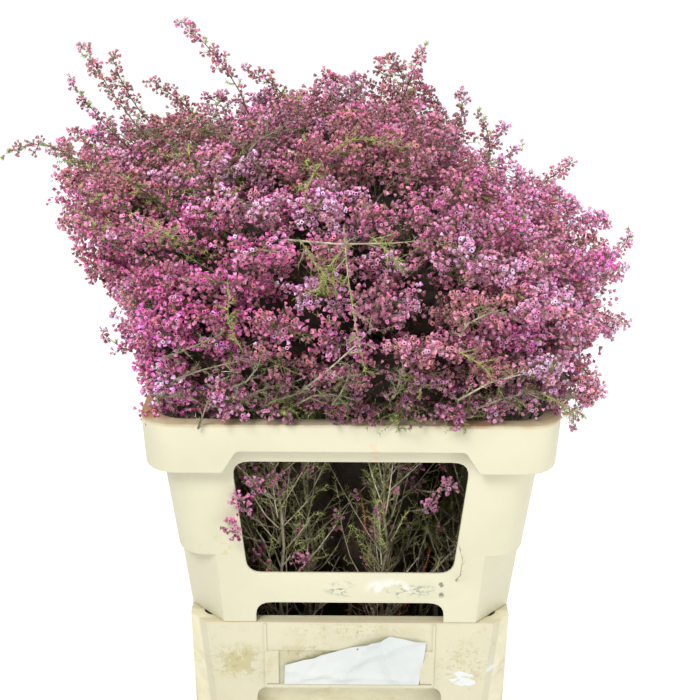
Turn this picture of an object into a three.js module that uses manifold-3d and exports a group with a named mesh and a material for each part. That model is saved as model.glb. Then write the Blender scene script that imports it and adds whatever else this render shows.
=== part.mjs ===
// Cut heather standing in a two-piece transport container: a tub of water, and an open flared collar on its rim.
// Millimetres, +Z up, origin on the floor under the tub's centre, the front (a short side) faces -Y.
import * as THREE from "three";
import { mergeVertices } from "three/addons/utils/BufferGeometryUtils.js";
import Module from "manifold-3d";

// Tub
const TUB_HALF_X = 150;
const TUB_HALF_Y = 200;
const TUB_TOP = 225;
const TUB_CORNER = 16; // chamfer of the rim's corners
const TUB_CORNER_LOW = 27; // the same at the skirt's lower edge
const SKIRT_BOTTOM = 95;
const RIM_WIDTH = 12;
const RIM_THICK = 4;
const BUCKET_BOTTOM_HALF_X = 124;
const BUCKET_BOTTOM_HALF_Y = 174;
const BUCKET_CORNER = 24;
const WALL = 3;
const FLOOR = 3;
const WATER_TOP = 78;

// Front and back of the tub's skirt
const POCKET_HALF = 68;
const POCKET_TOP = 194;
const POCKET_BOTTOM = 155;
const POCKET_DEPTH = 1.4;
const HANDHOLD_HALF = 88;
const HANDHOLD_TOP = 153;
const HANDHOLD_BOTTOM = 113;
const HANDHOLD_CORNER = 13;
const RIB_X = 79; // upright ribs beside the pocket
const RIB_PROUD = 1.6;

// Collar
const COLLAR_BASE = TUB_TOP + 0.3;
const COLLAR_HEIGHT = 217;
const HALF_GAP = 0.15;
const FLARE = 0.1; // how far each wall leans out for each millimetre of height
const FOOT_CHAMFER = 33;
const FOOT_CHAMFER_TOP = 36;
const SHOULDER = 76; // height where the chamfered foot meets the full body
const BODY_CORNER = 28;
const RIM_HALF_X = 182;
const RIM_HALF_Y = 232;
const RIM_CORNER = 30;
const BAND_DRAFT = 2;
const BAND_BOTTOM = 170;
const BAND_DIP = 21; // the band's lower edge is this much higher along the middle of each side
const DIP_HALF = 98;
const DIP_SPREAD = 13;
const WINDOW_BOTTOM = 56.5;
const WINDOW_TOP = 175;
const WINDOW_HALF_LOW = 93.5;
const WINDOW_HALF_HIGH = 104;
const WINDOW_R_LOW = 13;
const WINDOW_R_HIGH = 16;
const ARCH_HALF = 87;
const ARCH_TOP = 22.6;
const ARCH_CORNER = 15;

// Paper slip that stands in the label pocket: outline in X and Z
const SLIP_OUTLINE = [[-62, 156.6], [66, 156.6], [66, 196], [72, 204], [38, 210.5], [-61, 178]];
const SLIP_THICK = 0.8;

// Heather
// Rings of branches, seen from above: [inner edge, outer edge, how many]
const BRANCH_RINGS = [[0, 0.162, 1], [0.162, 0.438, 6], [0.438, 0.714, 9], [0.714, 1, 11]];
const FOOT_HALF = [108, 158]; // where the outermost stems stand in the tub
const NECK_HALF = [145, 195]; // and where they pass the collar's rim
const NECK_HEIGHT = 432;
const BUSH_HALF = [260, 276];
const BUSH_SHIFT = -14; // it reaches less far on the right, and further on the left
const BUSH_TOP = 684;
const BUSH_MIDDLE = 560; // height at which the bush is widest
const MIDDLE_TILT = 46; // that height is this much lower on the right, and higher on the left
const EDGE_HALF = [199, 227]; // the bush's lower edge, above the collar's rim
const EDGE_SHIFT = 17; // it reaches further out on the right, where it hangs down beside the rim
const EDGE_HEIGHT = 450;
const SPILL_ANGLE = -1.35; // and here, in front, some flowers spill over the rim
const SPILL_REACH = 13;
const EDGE_LIFT = 26; // the branches arch over the rim
const RIGHT_SINK = 0.46; // the top is lower on the right by this share, and on the left by the next
const LEFT_SINK = 0.3;
const UPPER_SHARE = 0.72; // the part of the way out that lies above the widest place
const CELL_GAP = 0.004; // half the gap between neighbouring branches, on the same scale
const BLOOM_DEPTH = 150;
const STEM_STRAIGHT = 92; // the stems rise straight out of the water to this height
const STEM_RADIUS = 2.8;
const HOLE_CLEARANCE = 0.5;
const STALK_RADIUS = 3.2;
const NEEDLE = 6;
const GRID = 3; // racemes along each side of a branch's cell
// Rings of a raceme: [height, width at the florets' tips, width at the core], as shares
const RACEME_RINGS = [[0.3, 0.97, 0.62], [0.58, 0.88, 0.48], [0.82, 0.58, 0.28]];
const FLORET_LIFT = 0.05; // the florets tip upwards
const LEAN = 0.08; // how far the racemes lean to the sides, as a share of the cell
const EDGE_DROOP = 0.1; // the outermost ones hang down over the rim
const STRAY_RADIUS = 7.5;
// Single sprigs that stand out of the bush: tip position
const STRAY_TIPS = [
  [-156, -40, 752], [-99, 0, 702], [-250, -20, 728], [-229, 10, 714], [-260, -30, 695], [-268, 0, 645],
  [-325, -40, 629], [-192, 0, 692], [32, 20, 714], [69, 30, 722], [103, 10, 682], [119, -10, 667], [148, 20, 648],
  [214, 10, 614], [268, -30, 556], [256, -60, 530], [263, -70, 476], [201, -168, 414], [-227, -130, 488],
  [-190, 190, 645], [190, 190, 590], [60, 300, 560], [-90, 300, 540],
];

const wasm = await Module();
wasm.setup();

// Seeded draws, so that every build grows the same branches
function drawsFrom(seed) {
  let state = seed;
  return (low = 0, high = 1) => {
    state = (state * 1664525 + 1013904223) % 4294967296;
    return low + ((high - low) * state) / 4294967296;
  };
}

function toSolid(geometry) {
  const g = geometry.clone();
  g.deleteAttribute("normal");
  g.deleteAttribute("uv");
  const merged = mergeVertices(g, 1e-4);
  const mesh = new wasm.Mesh({
    numProp: 3,
    vertProperties: new Float32Array(merged.attributes.position.array),
    triVerts: new Uint32Array(merged.index.array),
  });
  return new wasm.Manifold(mesh);
}

function toGeometry(solid) {
  const mesh = solid.getMesh();
  const geometry = new THREE.BufferGeometry();
  geometry.setAttribute("position", new THREE.BufferAttribute(mesh.vertProperties, 3));
  geometry.setIndex(new THREE.BufferAttribute(mesh.triVerts, 1));
  return geometry;
}

const joined = (solids) => solids.reduce((sum, next) => sum.add(next));

// A closed body through rings of equal count, the lowest first, each counter-clockwise seen from above
function loft(rings) {
  const count = rings[0].length;
  const positions = rings.flat().flatMap((p) => [p.x, p.y, p.z]);
  const index = [];
  for (let k = 0; k + 1 < rings.length; k++)
    for (let i = 0; i < count; i++) {
      const a = k * count + i;
      const b = k * count + ((i + 1) % count);
      index.push(a, b, b + count, a, b + count, a + count);
    }
  const top = (rings.length - 1) * count;
  for (let i = 1; i + 1 < count; i++) {
    index.push(0, i + 1, i);
    index.push(top, top + i, top + i + 1);
  }
  const geometry = new THREE.BufferGeometry();
  geometry.setAttribute("position", new THREE.Float32BufferAttribute(positions, 3));
  geometry.setIndex(index);
  return toSolid(geometry);
}

// Outline of a rectangle with cut corners (one step) or rounded ones (several steps)
function outline(halfX, halfY, corner, steps, z) {
  const points = [];
  const centres = [[1, 1], [-1, 1], [-1, -1], [1, -1]];
  centres.forEach(([sx, sy], quarter) => {
    for (let i = 0; i <= steps; i++) {
      const angle = ((quarter + i / steps) * Math.PI) / 2;
      const x = sx * (halfX - corner) + corner * Math.cos(angle);
      const y = sy * (halfY - corner) + corner * Math.sin(angle);
      points.push(new THREE.Vector3(x, y, z));
    }
  });
  return points;
}

// A slab cut through the front and the back wall alike: its outline is in X and Z, it runs from Y near to far
function acrossY(shape, near, far) {
  const geometry = new THREE.ExtrudeGeometry(shape, { depth: far - near, bevelEnabled: false, curveSegments: 5 });
  geometry.rotateX(Math.PI / 2);
  geometry.translate(0, far, 0);
  return toSolid(geometry);
}

function block(x0, x1, y0, y1, z0, z1) {
  const geometry = new THREE.BoxGeometry(x1 - x0, y1 - y0, z1 - z0);
  geometry.translate((x0 + x1) / 2, (y0 + y1) / 2, (z0 + z1) / 2);
  return toSolid(geometry);
}

// A symmetric opening with rounded corners; the lower corners stay square where lowRadius is 0
function openingShape(halfLow, halfHigh, low, high, lowRadius, highRadius) {
  const shape = new THREE.Shape();
  const lean = (halfHigh - halfLow) / (high - low);
  const lowX = halfLow + lean * lowRadius;
  const highX = halfHigh - lean * highRadius;
  shape.moveTo(-halfLow + lowRadius, low);
  shape.lineTo(halfLow - lowRadius, low);
  if (lowRadius) shape.quadraticCurveTo(halfLow, low, lowX, low + lowRadius);
  shape.lineTo(highX, high - highRadius);
  shape.quadraticCurveTo(halfHigh, high, halfHigh - highRadius, high);
  shape.lineTo(-halfHigh + highRadius, high);
  shape.quadraticCurveTo(-halfHigh, high, -highX, high - highRadius);
  shape.lineTo(-lowX, low + lowRadius);
  if (lowRadius) shape.quadraticCurveTo(-halfLow, low, -halfLow + lowRadius, low);
  return shape;
}

function bucketRing(z, inset) {
  const share = z / TUB_TOP;
  const halfX = BUCKET_BOTTOM_HALF_X + (TUB_HALF_X - RIM_WIDTH + WALL - BUCKET_BOTTOM_HALF_X) * share;
  const halfY = BUCKET_BOTTOM_HALF_Y + (TUB_HALF_Y - RIM_WIDTH + WALL - BUCKET_BOTTOM_HALF_Y) * share;
  const corner = BUCKET_CORNER + (12 - BUCKET_CORNER) * share;
  return outline(halfX - inset, halfY - inset, corner - inset / 2, 3, z);
}

function skirtRing(z, inset) {
  const share = (TUB_TOP - z) / (TUB_TOP - SKIRT_BOTTOM);
  const corner = TUB_CORNER + (TUB_CORNER_LOW - TUB_CORNER) * share;
  return outline(TUB_HALF_X - inset, TUB_HALF_Y - inset, corner - inset * 0.4, 1, z);
}

function buildTub() {
  const bucket = loft([bucketRing(0, 0), bucketRing(TUB_TOP, 0)]);
  const skirt = loft([skirtRing(SKIRT_BOTTOM, 0), skirtRing(TUB_TOP, 0)]);
  const behindSkirt = loft([skirtRing(SKIRT_BOTTOM - 10, WALL), skirtRing(TUB_TOP - RIM_THICK, WALL)]);
  const hollow = loft([bucketRing(FLOOR, WALL), bucketRing(TUB_TOP + 2, WALL)]);
  let tub = skirt.subtract(behindSkirt).add(bucket).subtract(hollow);
  const handhold = openingShape(HANDHOLD_HALF, HANDHOLD_HALF, HANDHOLD_BOTTOM, HANDHOLD_TOP, 6, HANDHOLD_CORNER);
  for (const side of [-1, 1]) {
    const outer = side * TUB_HALF_Y;
    const span = (deep, proud) => [outer - side * deep, outer + side * proud].sort((a, b) => a - b);
    tub = tub.subtract(acrossY(handhold, ...span(WALL + 2, 2)));
    const [pocketIn, pocketOut] = span(POCKET_DEPTH, 2);
    tub = tub.subtract(block(-POCKET_HALF, POCKET_HALF, pocketIn, pocketOut, POCKET_BOTTOM, POCKET_TOP));
    tub = tub.add(block(-RIB_X, RIB_X, ...span(WALL - 1, RIB_PROUD), HANDHOLD_TOP, POCKET_BOTTOM + 1.2));
    for (const end of [-1, 1]) {
      const [ribIn, ribOut] = span(1, RIB_PROUD);
      const rib = [end * RIB_X - 1, end * RIB_X + 1, ribIn, ribOut, HANDHOLD_TOP + 2, TUB_TOP - 1];
      const tab = [end * RIB_X, end * (RIB_X - 12), ribIn, ribOut, POCKET_BOTTOM + 3, POCKET_TOP];
      tub = tub.add(block(...rib));
      tub = tub.add(block(Math.min(tab[0], tab[1]), Math.max(tab[0], tab[1]), ...tab.slice(2)));
    }
  }
  return tub;
}

function collarRing(height, inset, corner, steps) {
  const spread = FLARE * height - inset;
  return outline(TUB_HALF_X + spread, TUB_HALF_Y + spread, corner, steps, COLLAR_BASE + height);
}

function bandRing(height, inset) {
  const spread = -BAND_DRAFT * (1 - (height - BAND_BOTTOM) / (COLLAR_HEIGHT - BAND_BOTTOM)) - inset;
  return outline(RIM_HALF_X + spread, RIM_HALF_Y + spread, RIM_CORNER - inset, 6, COLLAR_BASE + height);
}

function buildCollar() {
  const top = COLLAR_HEIGHT;
  const foot = loft([collarRing(0, 0, FOOT_CHAMFER, 1), collarRing(SHOULDER + 2, 0, FOOT_CHAMFER_TOP, 1)]);
  const footHollow = loft([
    collarRing(-3, WALL, FOOT_CHAMFER - 1, 1), collarRing(SHOULDER + 5, WALL, FOOT_CHAMFER_TOP - 1, 1),
  ]);
  const body = loft([collarRing(SHOULDER, 0, BODY_CORNER, 6), collarRing(top, 0, BODY_CORNER, 6)]);
  const bodyHollow = loft([
    collarRing(SHOULDER + WALL, WALL, BODY_CORNER - WALL, 6), collarRing(top + 3, WALL, BODY_CORNER - WALL, 6),
  ]);
  const band = loft([bandRing(BAND_BOTTOM, 0), bandRing(top, 0)]);
  const bandHollow = loft([bandRing(BAND_BOTTOM - 8, WALL), bandRing(top - WALL - 0.5, WALL)]);
  let collar = foot.add(body).add(band.subtract(bandHollow)).subtract(footHollow).subtract(bodyHollow);

  const low = COLLAR_BASE + BAND_BOTTOM;
  const dip = (half) => {
    const shape = new THREE.Shape();
    shape.moveTo(-half - DIP_SPREAD - 4, low - 5);
    shape.lineTo(half + DIP_SPREAD + 4, low - 5);
    shape.lineTo(half + DIP_SPREAD, low);
    shape.lineTo(half + 1.5, low + BAND_DIP - 2);
    shape.lineTo(half - 1.5, low + BAND_DIP);
    shape.lineTo(-half + 1.5, low + BAND_DIP);
    shape.lineTo(-half - 1.5, low + BAND_DIP - 2);
    shape.lineTo(-half - DIP_SPREAD, low);
    return shape;
  };
  const window = openingShape(
    WINDOW_HALF_LOW, WINDOW_HALF_HIGH, COLLAR_BASE + WINDOW_BOTTOM, COLLAR_BASE + WINDOW_TOP,
    WINDOW_R_LOW, WINDOW_R_HIGH,
  );
  const arch = openingShape(ARCH_HALF, ARCH_HALF, COLLAR_BASE - 5, COLLAR_BASE + ARCH_TOP, 0, ARCH_CORNER);
  const skirtNear = 5; // the band's skirt is cut this deep, clear of the wall behind it
  const endDip = acrossY(dip(DIP_HALF), RIM_HALF_Y - skirtNear, RIM_HALF_Y + 5);
  const sideDip = acrossY(dip(DIP_HALF + 50), RIM_HALF_X - skirtNear, RIM_HALF_X + 5).rotate([0, 0, -90]);
  const endWindow = acrossY(window, TUB_HALF_Y - 10, TUB_HALF_Y + 26);
  const endArch = acrossY(arch, TUB_HALF_Y - 10, TUB_HALF_Y + 10);
  for (const cut of [endDip, sideDip, endWindow, endArch])
    collar = collar.subtract(cut).subtract(cut.rotate([0, 0, 180]));
  return collar;
}

// The collar is one moulding; it is cut in two across the plain sides, so that its collision stays out of the windows
function halfCollar(collar, side) {
  const ends = [side * HALF_GAP, side * 400].sort((a, b) => a - b);
  return collar.intersect(block(-400, 400, ...ends, 0, 800));
}

const smooth = (x) => THREE.MathUtils.smoothstep(x, 0, 1);
const mix = THREE.MathUtils.lerp;

function superRadius([halfX, halfY], angle, power) {
  const x = Math.abs(Math.cos(angle) / halfX) ** power;
  const y = Math.abs(Math.sin(angle) / halfY) ** power;
  return (x + y) ** (-1 / power);
}

// The branches follow a fan of curves that never cross. Each curve belongs to a place in the plan of the bush,
// given by how far out it is (0 to 1) and by its angle; it ends in this point of the bush's surface
function surfacePoint(out, angle) {
  const above = Math.min(out / UPPER_SHARE, 1);
  const below = Math.max(out - UPPER_SHARE, 0) / (1 - UPPER_SHARE);
  const turn = (Math.PI / 2) * (0.8 * above + 0.2 * above * above);
  const right = Math.cos(angle);
  const spill = SPILL_REACH * Math.exp(-25 * (1 - Math.cos(angle - SPILL_ANGLE)));
  const wide = superRadius([BUSH_HALF[0] + BUSH_SHIFT * right, BUSH_HALF[1]], angle, 2.5) * Math.sin(turn);
  const low = superRadius([EDGE_HALF[0] + EDGE_SHIFT * right, EDGE_HALF[1] + spill], angle, 8);
  const reach = mix(wide, low, below ** 1.6);
  const x = reach * right;
  const middle = BUSH_MIDDLE - MIDDLE_TILT * right;
  const sink = RIGHT_SINK * smooth((x - 40) / 130) + LEFT_SINK * smooth((-x - 20) / 130);
  const rise = (BUSH_TOP - middle) * Math.cos(turn) * (1 - sink);
  const edge = EDGE_HEIGHT + 8 * Math.abs(Math.sin(2 * angle)) - spill - (4 + 10 * right) * right ** 4;
  return new THREE.Vector3(x, reach * Math.sin(angle), middle + rise - (middle - edge) * below);
}

function levelPoint(half, out, angle, z) {
  const reach = out ** 0.75 * superRadius(half, angle, 5);
  return new THREE.Vector3(reach * Math.cos(angle), reach * Math.sin(angle), z);
}

// The upper part of a curve of the fan, from the collar's rim to the surface
function upperCurve(out, angle) {
  const rise = levelPoint(FOOT_HALF, out, angle, STEM_STRAIGHT);
  const neck = levelPoint(NECK_HALF, out, angle, NECK_HEIGHT);
  const tip = surfacePoint(out, angle);
  const below = Math.max(out - UPPER_SHARE, 0) / (1 - UPPER_SHARE);
  const height = 0.42 * tip.distanceTo(neck) + EDGE_LIFT * below;
  const lift = neck.clone().sub(rise).normalize().multiplyScalar(height);
  return new THREE.QuadraticBezierCurve3(neck, neck.clone().add(lift), tip);
}

// share is 0 at the rim and 1 at the surface, and goes on straight beyond it
function fanPoint(out, angle, share) {
  const curve = upperCurve(out, angle);
  if (share <= 1) return curve.getPoint(share);
  const onward = curve.v2.clone().sub(curve.v1).normalize();
  return onward.multiplyScalar((share - 1) * curve.v2.distanceTo(curve.v0)).add(curve.v2);
}

// The border between two rings of branches wanders a little
const border = (out, angle) => (out === 1 ? 1 : out * (1 + 0.035 * Math.sin(3 * angle + 9 * out)));

function listBranches() {
  const branches = [];
  BRANCH_RINGS.forEach(([inner, outer, count], ring) => {
    const draw = drawsFrom(50 + ring);
    const edges = Array.from({ length: count }, (_, i) => ((i + 0.37 * ring + draw(-0.1, 0.1)) / count) * 2 * Math.PI);
    edges.push(edges[0] + 2 * Math.PI);
    for (let i = 0; i < count; i++) {
      const number = branches.length + 1;
      const branch = { number, inner, outer, from: edges[i], to: edges[i + 1], draw: drawsFrom(1000 + 37 * number) };
      const [out, angle] = ring ? cellPoint(branch, 0.5, 0.5) : [0, 0];
      const length = upperCurve(out, angle).getLength();
      branches.push({ ...branch, out, angle, hub: 1 - Math.min(0.8, BLOOM_DEPTH / length), strays: [] });
    }
  });
  return branches;
}

// A place in the cell of one branch: a goes outwards, b around, both from 0 to 1
function cellPoint({ inner, outer, from, to }, a, b) {
  if (inner > 0) {
    const gap = CELL_GAP / (inner + outer);
    const angle = mix(from + gap, to - gap, b);
    return [mix(border(inner, angle) + CELL_GAP, border(outer, angle) - CELL_GAP, a), angle];
  }
  const [x, y] = [2 * a - 1, 2 * b - 1];
  const [u, v] = [x * Math.sqrt(1 - (y * y) / 2), y * Math.sqrt(1 - (x * x) / 2)];
  const angle = Math.atan2(v, u);
  return [Math.hypot(u, v) * (border(outer, angle) - 2.5 * CELL_GAP), angle];
}

// A closed skin, put together from loops that run counter-clockwise seen from outside
class Skin {
  positions = [];
  index = [];
  add(p) {
    return this.positions.push(p.x, p.y, p.z) / 3 - 1;
  }
  loop(points) {
    return points.map((p) => this.add(p));
  }
  // Faces between two loops of equal count; apex(i) may give a point that stands on face i
  wall(low, high, fold = () => true, apex = () => null) {
    low.forEach((a, i) => {
      const j = (i + 1) % low.length;
      const [b, c, d] = [low[j], high[j], high[i]];
      const point = apex(i);
      if (point) {
        const e = this.add(point);
        this.index.push(a, b, e, b, c, e, c, d, e, d, a, e);
      } else if (fold(i)) this.index.push(a, b, c, a, c, d);
      else this.index.push(a, b, d, b, c, d);
    });
  }
  // Faces from a loop of four to one whose count is a multiple of four
  spread(low, high) {
    const run = high.length / 4;
    high.forEach((_, i) => {
      const corner = Math.floor((i + run / 2) / run) % 4;
      const next = Math.floor((i + 1 + run / 2) / run) % 4;
      this.index.push(low[corner], high[(i + 1) % high.length], high[i]);
      if (next !== corner) this.index.push(low[corner], low[next], high[(i + 1) % high.length]);
    });
  }
  close(loop, point) {
    const tip = this.add(point);
    loop.forEach((a, i) => this.index.push(a, loop[(i + 1) % loop.length], tip));
  }
  cap(loop) {
    for (let i = 1; i + 1 < loop.length; i++) this.index.push(loop[0], loop[i + 1], loop[i]);
  }
  solid() {
    const geometry = new THREE.BufferGeometry();
    geometry.setAttribute("position", new THREE.Float32BufferAttribute(this.positions, 3));
    geometry.setIndex(this.index);
    return toSolid(geometry);
  }
}

function ringAt(centre, direction, radii, turn) {
  const lean = Math.abs(direction.z) > 0.9 ? new THREE.Vector3(1, 0, 0) : new THREE.Vector3(0, 0, 1);
  const u = lean.cross(direction).normalize();
  const w = direction.clone().cross(u);
  return radii.map((radius, i) => {
    const angle = turn + (i / radii.length) * 2 * Math.PI;
    return centre.clone().addScaledVector(u, radius * Math.cos(angle)).addScaledVector(w, radius * Math.sin(angle));
  });
}

// The racemes of one branch stand side by side on a grid. Every second corner of their rings is a floret's tip
function planRacemes(branch) {
  const { draw, hub } = branch;
  const depth = 1 - hub;
  const grid = [];
  for (let i = 0; i <= GRID; i++)
    for (let j = 0; j <= GRID; j++) {
      const sway = (index) => (index > 0 && index < GRID ? 0.26 / GRID : 0);
      const a = i / GRID + draw(-1, 1) * sway(i);
      const b = j / GRID + draw(-1, 1) * sway(j);
      grid.push([a, b, 1 - depth * draw(0.36, 0.48)]);
    }
  const racemes = [];
  for (let i = 0; i < GRID; i++)
    for (let j = 0; j < GRID; j++) {
      const corners = [[i, j], [i + 1, j], [i + 1, j + 1], [i, j + 1]].map(([p, q]) => p * (GRID + 1) + q);
      const mean = [0, 1, 2].map((axis) => corners.reduce((sum, corner) => sum + grid[corner][axis], 0) / 4);
      const lean = [draw(-LEAN, LEAN), draw(-LEAN, LEAN)];
      const droop = branch.outer === 1 && i === GRID - 1 ? EDGE_DROOP : 0;
      const florets = RACEME_RINGS.map(() => [0, 1, 2, 3].map(() => draw(0.8, 1)));
      racemes.push({ corners, mean, lean, droop, end: 1 + depth * (draw(-0.2, 0.16) + droop), florets });
    }
  return { grid, racemes };
}

// A raceme leans more and more towards its tip; height is 0 at its root and 1 at the tip
function racemeAxis({ mean, lean, droop, end }, height) {
  const bend = height * height;
  return [mean[0] + (lean[0] + droop) * bend, mean[1] + lean[1] * bend, mix(mean[2], end, height)];
}

function racemeDirection(branch, raceme) {
  const before = placeIn(branch, racemeAxis(raceme, 0.75));
  return placeIn(branch, racemeAxis(raceme, 1)).sub(before).normalize();
}

function placeIn(branch, [a, b, share]) {
  return fanPoint(...cellPoint(branch, a, b), share);
}

function buildBloom(branch) {
  const skin = new Skin();
  const { grid, racemes } = branch.plan;
  const base = skin.loop(grid.map((place) => placeIn(branch, place)));
  for (const raceme of racemes) {
    const { corners, mean, lean, florets, stray } = raceme;
    let below = corners.map((corner) => base[corner]);
    RACEME_RINGS.forEach(([height, tipWidth, coreWidth], k) => {
      const centre = racemeAxis(raceme, height);
      const room = 0.98 - 2 * GRID * Math.max(Math.abs(lean[0]), Math.abs(lean[1])) * height * height;
      const ring = corners.map((corner, i) => {
        const raised = (k + i) % 2 === 0;
        const width = raised ? Math.min(tipWidth * florets[k][i], room) : coreWidth;
        const lift = raised ? FLORET_LIFT * (1 - branch.hub) * florets[k][i] : 0;
        const across = [0, 1].map((axis) => centre[axis] + (grid[corner][axis] - mean[axis]) * width);
        return placeIn(branch, [...across, centre[2] + lift]);
      });
      const loop = skin.loop(ring);
      skin.wall(below, loop, (i) => (k + i) % 2 === 0);
      below = loop;
    });
    const end = placeIn(branch, racemeAxis(raceme, 1));
    if (stray) below = growStray(skin, below, end, racemeDirection(branch, raceme), stray);
    skin.close(below, stray ?? end);
  }
  const rim = [];
  for (let i = 0; i < GRID; i++) rim.push(i * (GRID + 1));
  for (let j = 0; j < GRID; j++) rim.push(GRID * (GRID + 1) + j);
  for (let i = GRID; i > 0; i--) rim.push(i * (GRID + 1) + GRID);
  for (let j = GRID; j > 0; j--) rim.push(j);
  const narrowed = (width, share) =>
    rim.map((corner, i) => {
      const [a, b] = [0, 1].map((axis) => 0.5 + (grid[corner][axis] - 0.5) * width * (i % 2 ? 0.8 : 1));
      return placeIn(branch, [a, b, share]);
    });
  const level = (part) => 1 - (1 - branch.hub) * part;
  const under = skin.loop(narrowed(0.7, level(0.66)));
  skin.wall(under, rim.map((corner) => base[corner]));
  const stalkAt = (part) => {
    const centre = placeIn(branch, [0.5, 0.5, level(part)]);
    const ahead = placeIn(branch, [0.5, 0.5, level(part - 0.05)]);
    return { centre, direction: ahead.sub(centre).normalize() };
  };
  const stalkRing = (part, radius) => {
    const { centre, direction } = stalkAt(part);
    const corners = [0, GRID, 2 * GRID, 3 * GRID].map((i) => narrowed(0.42, level(part))[i]);
    return corners.map((corner) => {
      const across = corner.sub(centre);
      across.addScaledVector(direction, -across.dot(direction));
      return centre.clone().addScaledVector(across.normalize(), radius);
    });
  };
  const stalkTop = skin.loop(stalkRing(0.86, STALK_RADIUS));
  const foot = skin.loop(stalkRing(1, STALK_RADIUS * 0.8));
  skin.spread(stalkTop, under);
  skin.wall(foot, stalkTop);
  skin.cap(foot);
  return skin.solid();
}

// A slim sprig on top of a raceme, ring by ring; it starts off along the raceme and bends to its own tip
function growStray(skin, below, start, onward, tip) {
  const length = tip.distanceTo(start);
  const bend = start.clone().addScaledVector(onward, length * 0.45);
  const curve = new THREE.QuadraticBezierCurve3(start, bend, tip);
  const count = Math.max(Math.round(length / 13), 1);
  let across = below.map((i) => new THREE.Vector3(...skin.positions.slice(3 * i, 3 * i + 3)).sub(start));
  let last = below;
  for (let k = 0; k < count; k++) {
    const share = k / (count + 0.3);
    const centre = curve.getPoint(share);
    const direction = curve.getTangent(share);
    across = across.map((v) => v.addScaledVector(direction, -v.dot(direction)).normalize());
    const ring = across.map((v, i) => {
      const raised = (k + i) % 2 === 0;
      const radius = raised ? STRAY_RADIUS * (1 - 0.4 * share) : 2.4;
      return centre.clone().addScaledVector(v, radius).addScaledVector(direction, raised ? 3 : 0);
    });
    const loop = skin.loop(ring);
    skin.wall(last, loop, (i) => (k + i) % 2 === 0);
    last = loop;
  }
  return last;
}

function addStrays(branches) {
  const all = branches.flatMap((branch) => branch.plan.racemes.map((r) => ({ branch, r })));
  for (const [x, y, z] of STRAY_TIPS) {
    const tip = new THREE.Vector3(x, y, z);
    const cost = ({ branch, r }) => {
      const along = tip.clone().sub(placeIn(branch, racemeAxis(r, 1)));
      return along.length() * (3 - 2 * along.clone().normalize().dot(racemeDirection(branch, r)));
    };
    const free = all.filter(({ r }) => !r.stray).map((one) => ({ r: one.r, cost: cost(one) }));
    free.sort((one, other) => one.cost - other.cost);
    free[0].r.stray = tip;
  }
}

// A slim tube of three sides with whorls of three needles; the first points stay bare
function buildTwig(points, radii, bare) {
  const skin = new Skin();
  let last = null;
  points.forEach((p, k) => {
    const before = points[Math.max(k - 1, 0)];
    const after = points[Math.min(k + 1, points.length - 1)];
    const direction = after.clone().sub(before).normalize();
    const radius = Array(3).fill(radii[k]);
    const low = skin.loop(ringAt(p, direction, radius, 0.5 * k));
    if (last) skin.wall(last, low);
    else skin.cap(low);
    last = low;
    if (k < bare || k === points.length - 1) return;
    const centre = p.clone().addScaledVector(direction, 1.3);
    const high = skin.loop(ringAt(p.clone().addScaledVector(direction, 2.6), direction, radius, 0.5 * k));
    const middles = ringAt(centre, direction, Array(3).fill(1), 0.5 * k + Math.PI / 3);
    const needle = (i) => {
      const outward = middles[i].clone().sub(centre);
      return centre.clone().addScaledVector(outward, NEEDLE).addScaledVector(direction, NEEDLE * 0.6);
    };
    skin.wall(low, high, () => true, needle);
    last = high;
  });
  const end = points[points.length - 1];
  skin.close(last, end.clone().lerp(points[points.length - 2], -0.02));
  return skin.solid();
}

function buildStem(branch) {
  const { draw, out, angle, hub } = branch;
  const foot = levelPoint(FOOT_HALF, out, angle, FLOOR + 0.4);
  const rise = levelPoint(FOOT_HALF, out, angle, STEM_STRAIGHT);
  const neck = levelPoint(NECK_HALF, out, angle, NECK_HEIGHT);
  const middle = (share) => rise.clone().lerp(neck, share);
  const points = [foot, rise, ...[0.35, 0.48, 0.61, 0.74, 0.87, 1].map(middle)];
  const bare = 3;
  for (const share of [0.5, 0.97]) points.push(fanPoint(out, angle, hub * share));
  const radii = points.map((_, k) => STEM_RADIUS - (1.2 * k) / points.length);
  const pieces = [buildTwig(points, radii, bare)];
  const from = middle(draw() < 0.5 ? 0.415 : 0.545);
  const around = angle + draw(0.9, 2.2) * (draw() < 0.5 ? -1 : 1);
  const outward = new THREE.Vector3(Math.cos(around), Math.sin(around), 0).multiplyScalar(draw(0.3, 0.42));
  const direction = outward.add(new THREE.Vector3(0, 0, 1)).normalize();
  const shoot = [0, 12, 22, 32].map((s) => from.clone().addScaledVector(direction, s));
  pieces.push(buildTwig(shoot, [1.5, 1.4, 1.3, 1.1], 1));
  return joined(pieces);
}

function buildWater(branches) {
  const side = 0.3 + WALL;
  let water = loft([bucketRing(FLOOR + 0.3, side), bucketRing(WATER_TOP, side)]);
  for (const branch of branches) {
    const foot = levelPoint(FOOT_HALF, branch.out, branch.angle, 0);
    const half = STEM_RADIUS + HOLE_CLEARANCE;
    water = water.subtract(block(foot.x - half, foot.x + half, foot.y - half, foot.y + half, -5, WATER_TOP + 5));
  }
  return water;
}

function buildSlip() {
  const shape = new THREE.Shape(SLIP_OUTLINE.map(([x, z]) => new THREE.Vector2(x, z)));
  const front = -(TUB_HALF_Y + 0.3);
  return acrossY(shape, front - SLIP_THICK, front);
}

const plastic = { color: 0xeeebcf, roughness: 0.5, metalness: 0 };
const finishes = {
  tub: plastic,
  collar: plastic,
  water: { color: 0x8c9a86, roughness: 0.1, metalness: 0 },
  paper: { color: 0xeff3f4, roughness: 0.8, metalness: 0 },
  stem: { color: 0x5d6b3a, roughness: 0.8, metalness: 0 },
  bloom: { color: 0xb1568f, roughness: 0.7, metalness: 0 },
};

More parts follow.
